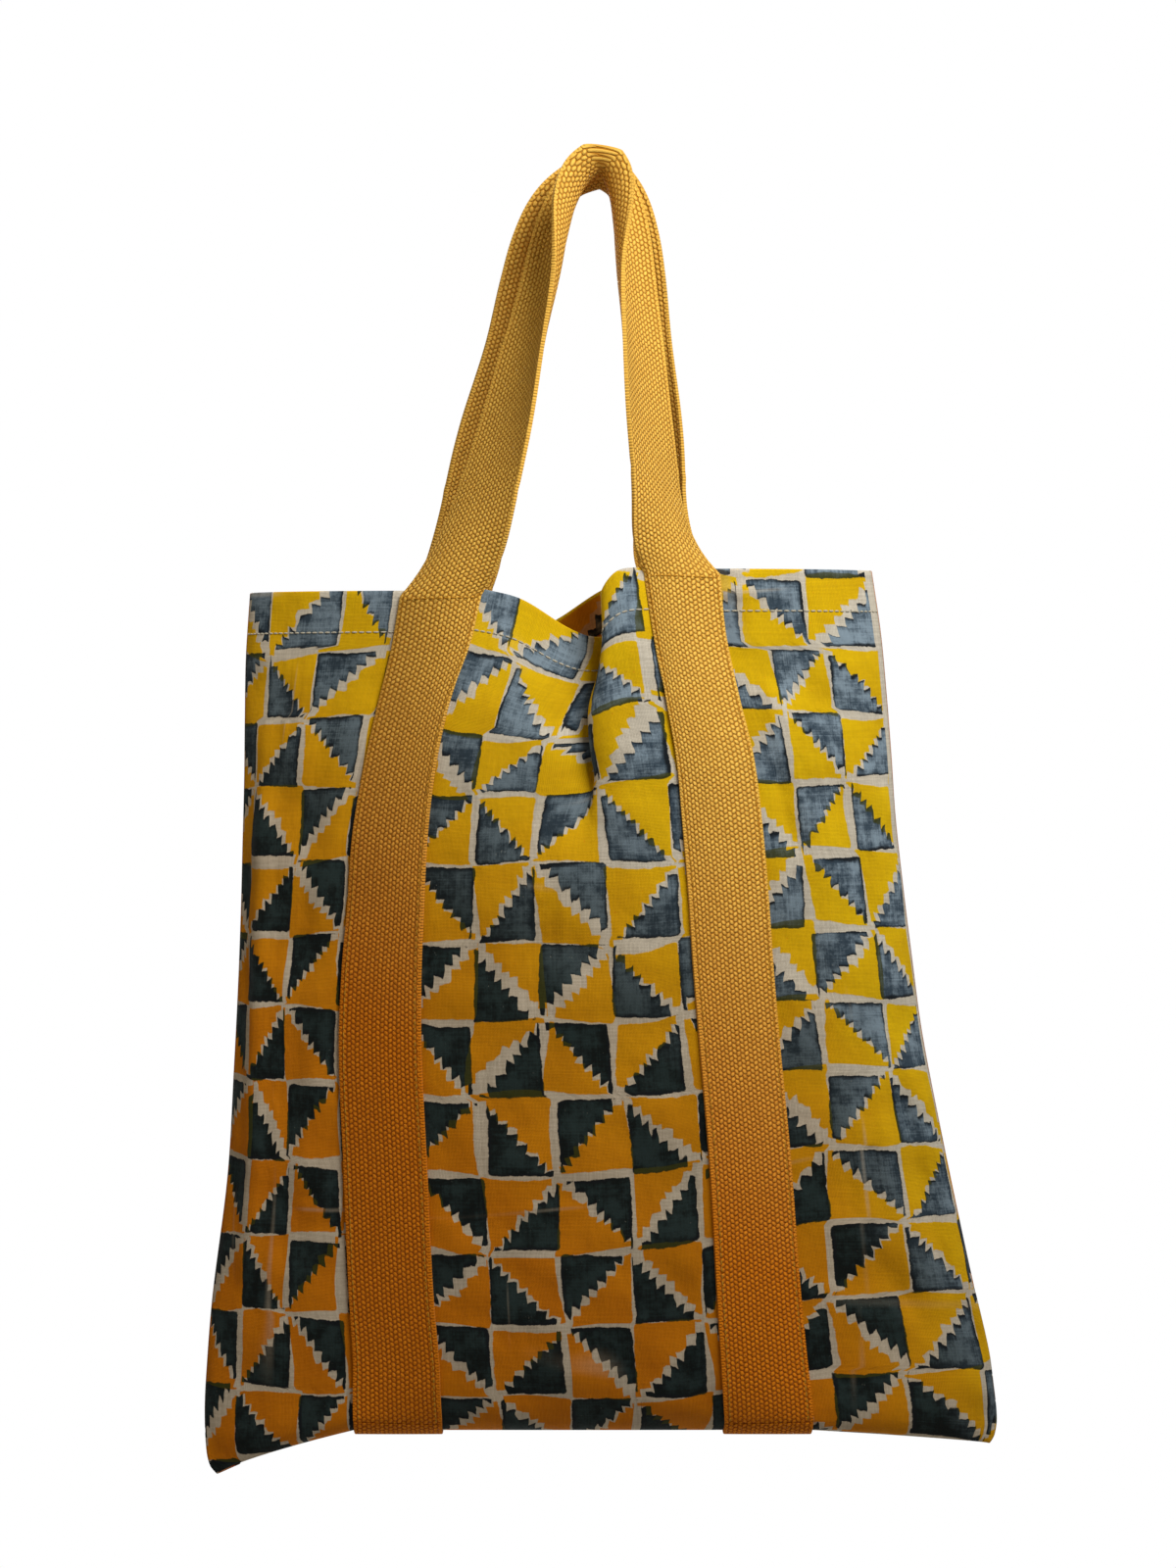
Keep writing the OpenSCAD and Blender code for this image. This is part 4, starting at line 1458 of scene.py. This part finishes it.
@dataclass
class Webbing:
    """The webbing: up one strap, over the hook and down the other, and under the bag's foot."""

    shape: BagShape
    finishes: Finishes
    strap_end: float = 0.388
    threads: int = 17
    edge_bunching: float = 0.92
    rings: int = 181
    soft_edge: float = 0.0006
    # the smoothing: how strong and how often, and over how many rows at the crest and at the feet
    relax_share: float = 0.5
    relax_times: int = 12
    crest_rows: float = 9
    foot_rows: float = 4
    foot_start: float = 2.5
    bend_start: tuple = (0.0, 0.0, -0.1803)
    bend_length: float = 0.030
    hinge_axis: tuple = (0.99511, 0.0, 0.09872)

    def shares(self) -> Array:
        """Places across the webbing from -1 to 1, closer together near its edges."""
        widest = math.pi / 2 * self.edge_bunching
        return np.sin(np.linspace(-1, 1, self.threads) * widest) / math.sin(widest)

    def strip(
        self, name: str, path: Array, rows: Array, way: int, facing_back: bool
    ) -> Piece:
        """Weaves one length of webbing along a path.

        Args:
            name: The piece's name.
            path: Rows of places along the webbing, each row across it.
            rows: The numbers of those rows from the grid's top.
            way: 1 where its weave is counted from the path's start, -1 where against it.
            facing_back: True where its outer face looks towards +Y.

        Returns:
            The piece.
        """
        middle = path[:, path.shape[1] // 2]
        lengths = np.linalg.norm(np.diff(middle, axis=0), axis=1)
        run = way * np.concatenate([[0], np.cumsum(lengths)])
        piece = woven_grid(
            name,
            self.shares(),
            rows,
            lambda a, r: path[r.astype(int)[:, 0]],
            lambda a, r: np.stack([a * self.shape.half_strap, run[r.astype(int)]], -1),
            facing_back,
            self.finishes.webbing,
        )
        thicken(piece, self.shape.webbing)
        soften(piece, self.soft_edge)
        return piece

    def ribbon(self, side: Side) -> Piece:
        """Builds and dresses the straps and handle of one panel as one piece.

        Args:
            side: Which panel.

        Returns:
            The webbing.
        """
        s = self.shape
        share = self.shares()
        sewn = steps((self.strap_end, 0.003), (0.03, 0.002), (0.0, 1.0))[:, None]
        rings = np.linspace(-1, 1, self.rings)[1:-1, None]
        left = s.on_cloth(side, -s.half_spacing + share * s.half_strap, sewn, s.strap_middle_lift)
        handle = s.handle_place(side, rings, share[None, :])
        right = s.on_cloth(side, s.half_spacing - share * s.half_strap, sewn[::-1], s.strap_middle_lift)
        path = self.relaxed(np.concatenate([left, handle, right]), len(left), len(handle))
        rows = np.arange(len(path))[::-1]
        piece = self.strip(f"{side.word}_webbing", path, rows, 1, side is Side.BACK)
        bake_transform(piece)
        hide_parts(f"{side.word}_strap_left", f"{side.word}_strap_right", f"{side.word}_handle")
        return piece

    def relaxed(self, path: Array, sewn: int, looped: int) -> Array:
        """Takes the sharpness out of the webbing where it leaves the cloth and where it crosses the hook.

        Args:
            path: Rows of places along the webbing.
            sewn: How many rows are sewn down at each end.
            looped: How many rows the handle has.

        Returns:
            The smoother rows.
        """
        rows = np.arange(len(path))
        first, last = sewn, sewn + looped - 1
        weight = np.zeros(len(path))
        for middle, reach in (
            ((first + last) / 2, self.crest_rows),
            (first + self.foot_start, self.foot_rows),
            (last - self.foot_start, self.foot_rows),
        ):
            weight = np.maximum(weight, np.exp(-(((rows - middle) / reach) ** 2)))
        weight[: first - 1] = 0
        weight[last + 2 :] = 0
        return smoothed(path, weight[1:-1, None, None] * self.relax_share, self.relax_times)

    def underfold(self, hand: Hand) -> Piece:
        """The webbing that passes under the bottom seam from the front strap to the back one.

        Args:
            hand: Which strap.

        Returns:
            The piece.
        """
        s = self.shape
        down = steps((self.strap_end, 0.0012), (s.height, 1.0))[:, None]
        across = hand.value * s.half_spacing + self.shares() * s.half_strap
        front = s.on_cloth(Side.FRONT, across, down, s.strap_middle_lift)
        back = s.on_cloth(Side.BACK, across, down[::-1], s.strap_middle_lift)
        path = smoothed(np.concatenate([front, back]), self.relax_share, 2)
        piece = self.strip(f"{hand.word}_webbing_underfold", path, np.arange(len(path)), -1, False)
        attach(piece, "bag")
        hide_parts(f"{hand.word}_strap_underfold")
        return piece

    def build(self) -> list[Piece]:
        """All the webbing."""
        return [self.ribbon(side) for side in Side] + [self.underfold(hand) for hand in Hand]


@dataclass
class Stitching:
    """Every line of stitches, each stitch a small plump form that follows the cloth."""

    shape: BagShape
    finishes: Finishes
    pitch: float = 0.0032
    length: float = 0.0027
    thread: float = 0.0009
    stitch_inset: float = 0.0025
    hem_end_gap: float = 0.0012
    tack_end_gap: float = 0.0035
    sunk: float = 0.0001
    strap_run: tuple = (0.001, 0.387)
    side_seam_run: tuple = (0.001, 0.36)
    bottom_seam_run: tuple = (-0.150, 0.150)
    seam_inset: float = 0.0036
    seam_face: float = -0.00115

    def stitched(self, name: str, places: Array, out: Array, slot: str) -> Piece:
        """Lays one small plump form between each pair of places.

        Args:
            name: The piece's name.
            places: The ends of the stitches, in pairs.
            out: The outward direction at each pair.
            slot: The record's slot, which names the thread.

        Returns:
            The piece.
        """
        bm = bmesh.new()
        bmesh.ops.create_uvsphere(bm, u_segments=6, v_segments=5, radius=0.5)
        bmesh.ops.spin(
            bm, geom=bm.verts[:] + bm.edges[:] + bm.faces[:], axis=(0, 0, 1), cent=(0, 0, 0),
            dvec=(2, 0, 0), angle=0.0, steps=len(places) - 1, use_duplicate=True,
        )
        piece = finished(name, bm, self.finishes.threads[slot])
        co = vertex_places(piece.data)
        which = np.rint(co[:, 0] / 2).astype(int)
        co[:, 0] -= 2 * which
        along_it = places[:, 1] - places[:, 0]
        t = unit(along_it)
        n = unit(out - np.sum(out * t, -1, keepdims=True) * t)
        frames = np.stack([np.cross(n, t) * self.thread, n * self.thread * 0.9, along_it], 1)
        laid = np.einsum("ij,ijk->ik", co, frames[which]) + places.mean(1)[which]
        piece.data.vertices.foreach_set("co", laid.ravel())
        piece.data.update()
        return piece

    def ends(self, start: float, stop: float) -> Array:
        """Pairs of flat places for the stitches between two places."""
        n = max(1, round((stop - start) / self.pitch))
        middles = start + (np.arange(n) + 0.5) * (stop - start) / n
        return np.stack([middles - self.length / 2, middles + self.length / 2], -1)

    def seam(
        self,
        words: tuple[str, str],
        lines: Sequence[tuple[Number, Number]],
        side: Side,
        lift: float,
        slot: str,
    ) -> Piece:
        """One piece of stitches on the outside of a panel.

        Args:
            words: The piece's name and its node's, without the panel's.
            lines: Flat places across and down of the stitches' ends.
            side: Which panel.
            lift: How far over the inner face the thread lies.
            slot: The record's slot, which names the thread.

        Returns:
            The piece.
        """
        pairs = [np.broadcast_arrays(*line) for line in lines]
        across, down = (np.concatenate(part) for part in zip(*pairs))
        places = self.shape.on_cloth(side, across, down, lift)
        out = self.shape.across_face(self.shape.skin, side, across.mean(-1), down.mean(-1))
        name, node = (f"{side.word}_{word}" for word in words)
        return self.dress(self.stitched(name, places, out, slot), node)

    def dress(self, piece: Piece, node: str) -> Piece:
        """Puts a piece of stitches on the bag in a node's place."""
        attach(piece, "bag")
        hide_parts(node)
        return piece

    def hem(self, side: Side) -> Piece:
        """The white line that holds the hem."""
        s = self.shape
        gap = self.hem_end_gap
        edges = (-s.half_width, -s.outer_edge, -s.inner_edge, s.inner_edge, s.outer_edge, s.half_width)
        lines = [(self.ends(a + gap, b - gap), s.hem) for a, b in zip(edges[::2], edges[1::2])]
        words = ("hem_stitches", "hem_thread")
        return self.seam(words, lines, side, s.panel_out + self.sunk, "white_thread")

    def strap(self, side: Side, hand: Hand) -> Piece:
        """The two lines along a strap's edges."""
        s = self.shape
        middle, off = hand.value * s.half_spacing, s.half_strap - self.stitch_inset
        down = self.ends(*self.strap_run)
        words = (f"strap_stitches_{hand.word}", f"strap_thread_{hand.word}")
        lines = [(middle - off, down), (middle + off, down)]
        return self.seam(words, lines, side, s.strap_out - self.sunk, "ochre_thread")

    def tacks(self, side: Side) -> Piece:
        """The cross line on each strap that carries the handle."""
        s = self.shape
        reach = s.half_strap - self.tack_end_gap
        middles = [hand.value * s.half_spacing for hand in Hand]
        lines = [(self.ends(middle - reach, middle + reach), s.hem / 5) for middle in middles]
        return self.seam(("cross_stitches", "handle_tacks"), lines, side, s.strap_out, "ochre_thread")

    def inner_seams(self) -> list[Piece]:
        """The lines on the raw edges inside the side seams and the bottom seam."""
        s = self.shape
        down = self.ends(*self.side_seam_run)
        made = [
            self.inner_seam(f"{hand.word}_seam", hand.value * s.half_width, down, (-hand.value, 0, 0))
            for hand in Hand
        ]
        return made + [self.inner_seam("bottom_seam", self.ends(*self.bottom_seam_run), s.height, (0, 0, 1))]

    def inner_seam(self, name: str, across: Number, down: Number, inward: tuple) -> Piece:
        """One line of white stitches on the front face of the raw edges.

        Args:
            name: What the piece and its node are called after.
            across: Flat places across of the stitches' ends.
            down: Their flat places down.
            inward: The direction from the cloth's edge to the line.

        Returns:
            The piece.
        """
        places = self.shape.skin(Side.FRONT, *np.broadcast_arrays(across, down))
        places = places + self.seam_inset * np.array(inward)
        places[..., 1] = self.seam_face
        out = np.tile([0.0, -1.0, 0.0], (len(places), 1))
        piece = self.stitched(f"{name}_stitches", places, out, "white_thread")
        return self.dress(piece, f"{name}_thread")

    def build(self) -> list[Piece]:
        """Every line of stitches."""
        made = [self.hem(side) for side in Side]
        made += [self.strap(side, hand) for side in Side for hand in Hand]
        made += [self.tacks(side) for side in Side]
        return made + self.inner_seams()


@dataclass
class Studio:
    """Floor, light and camera."""

    target: tuple = (-0.0053, 0.0, -0.2726)
    distance: float = 1.40
    view_height: float = 0.710
    floor_height: float = -1.3
    floor_reach: float = 1.5
    world_light: float = 0.07
    room_colour: tuple = (1.0, 0.86, 0.70, 1.0)
    white: tuple = (1.0, 1.0, 1.0, 1.0)
    # name, place, side, watts, colour
    lamps: tuple = (
        ("key", (0.40, -0.60, 0.38), 0.5, 11.6, (1.0, 0.99, 0.96)),
        ("left", (-0.6, -0.25, 0.15), 0.3, 0.9, (1.0, 0.92, 0.78)),
        ("fill", (-1.2, -1.1, -0.9), 1.1, 1.0, (1.0, 0.7, 0.4)),
        ("back", (-0.3, 1.4, 0.3), 1.0, 22.0, (1.0, 1.0, 1.0)),
    )

    def floor(self) -> None:
        """A pale matt floor some way below the bag."""
        _, pale = new_material("Pale floor", Base_Color=srgb(236, 235, 232), Roughness=0.9)
        bm = bmesh.new()
        bmesh.ops.create_grid(bm, x_segments=1, y_segments=1, size=self.floor_reach)
        bmesh.ops.translate(bm, verts=bm.verts, vec=(0, 0, self.floor_height))
        finished("floor", bm, pale)

    def world(self) -> None:
        """Warm plain light from all round, and a white background."""
        world = bpy.data.worlds.new("Studio")
        bpy.context.scene.world = world
        world.use_nodes = True
        g = Graph(world.node_tree)
        path = g.add("ShaderNodeLightPath").outputs
        camera, glossy, through = (
            Wire(g, path[f"Is {kind} Ray"]) for kind in ("Camera", "Glossy", "Transmission")
        )
        seen = g.most(camera, g.most(glossy, through))
        background = world.node_tree.nodes["Background"]
        g.feed(background.inputs["Color"], g.blend(seen, self.room_colour, self.white))
        strength = seen * (1.0 - self.world_light) + self.world_light
        g.feed(background.inputs["Strength"], strength)

    def lamp(self, name: str, place: tuple, size: float, power: float, colour: tuple) -> None:
        """A soft square lamp that faces the bag.

        Args:
            name: The lamp's name.
            place: Where it stands.
            size: Its side.
            power: Its power in watts.
            colour: Its colour.
        """
        light = bpy.data.lights.new(name, "AREA")
        light.size = size
        light.energy = power
        light.color = colour
        lamp = placed(name, light)
        lamp.location = place
        aim = Vector(self.target) - Vector(place)
        lamp.rotation_euler = aim.to_track_quat("-Z", "Y").to_euler()

    def camera(self) -> None:
        """A level camera in front of the bag."""
        data = bpy.data.cameras.new("camera")
        data.lens = data.sensor_width / 2 / (self.view_height / 2 / self.distance)
        camera = placed("camera", data)
        camera.location = (self.target[0], -self.distance, self.target[2])
        camera.rotation_euler = (math.radians(90), 0, 0)
        bpy.context.scene.camera = camera

    def build(self) -> None:
        """Sets the whole studio up."""
        self.floor()
        self.world()
        for settings in self.lamps:
            self.lamp(*settings)
        self.camera()
        bpy.context.scene.view_settings.view_transform = "Standard"


FRONT_CREASES = (
    Crease((-0.166, 0.03), (-0.158, 0.36), 0.0030, 0.009, 0.02),
    Crease((-0.130, 0.02), (-0.140, 0.30), -0.0022, 0.010, -0.03),
    Crease((0.112, 0.085), (0.124, 0.135), -0.0022, 0.006),
    Crease((0.118, 0.04), (0.122, 0.10), 0.0012, 0.005),
    Crease((0.150, 0.22), (0.146, 0.30), 0.0014, 0.005),
    Crease((0.160, 0.20), (0.172, 0.34), -0.0014, 0.006),
    Crease((0.130, 0.30), (0.165, 0.36), -0.0012, 0.006),
    Crease((0.004, 0.10), (0.002, 0.20), 0.0006, 0.002),
)


def main() -> None:
    """Builds the bag and its studio, and logs how many faces each piece has."""
    logging.basicConfig(level=logging.INFO, format="%(message)s")
    Studio().build()
    shape = BagShape(front_creases=FRONT_CREASES)
    finishes = Finishes()
    cloth = Cloth(shape, finishes).build()
    webbing = Webbing(shape, finishes).build()
    stitches = Stitching(shape, finishes).build()
    for piece in cloth + webbing + stitches:
        log.info("%s: %d faces", piece.name, len(piece.data.polygons))


if __name__ == "__main__":
    main()
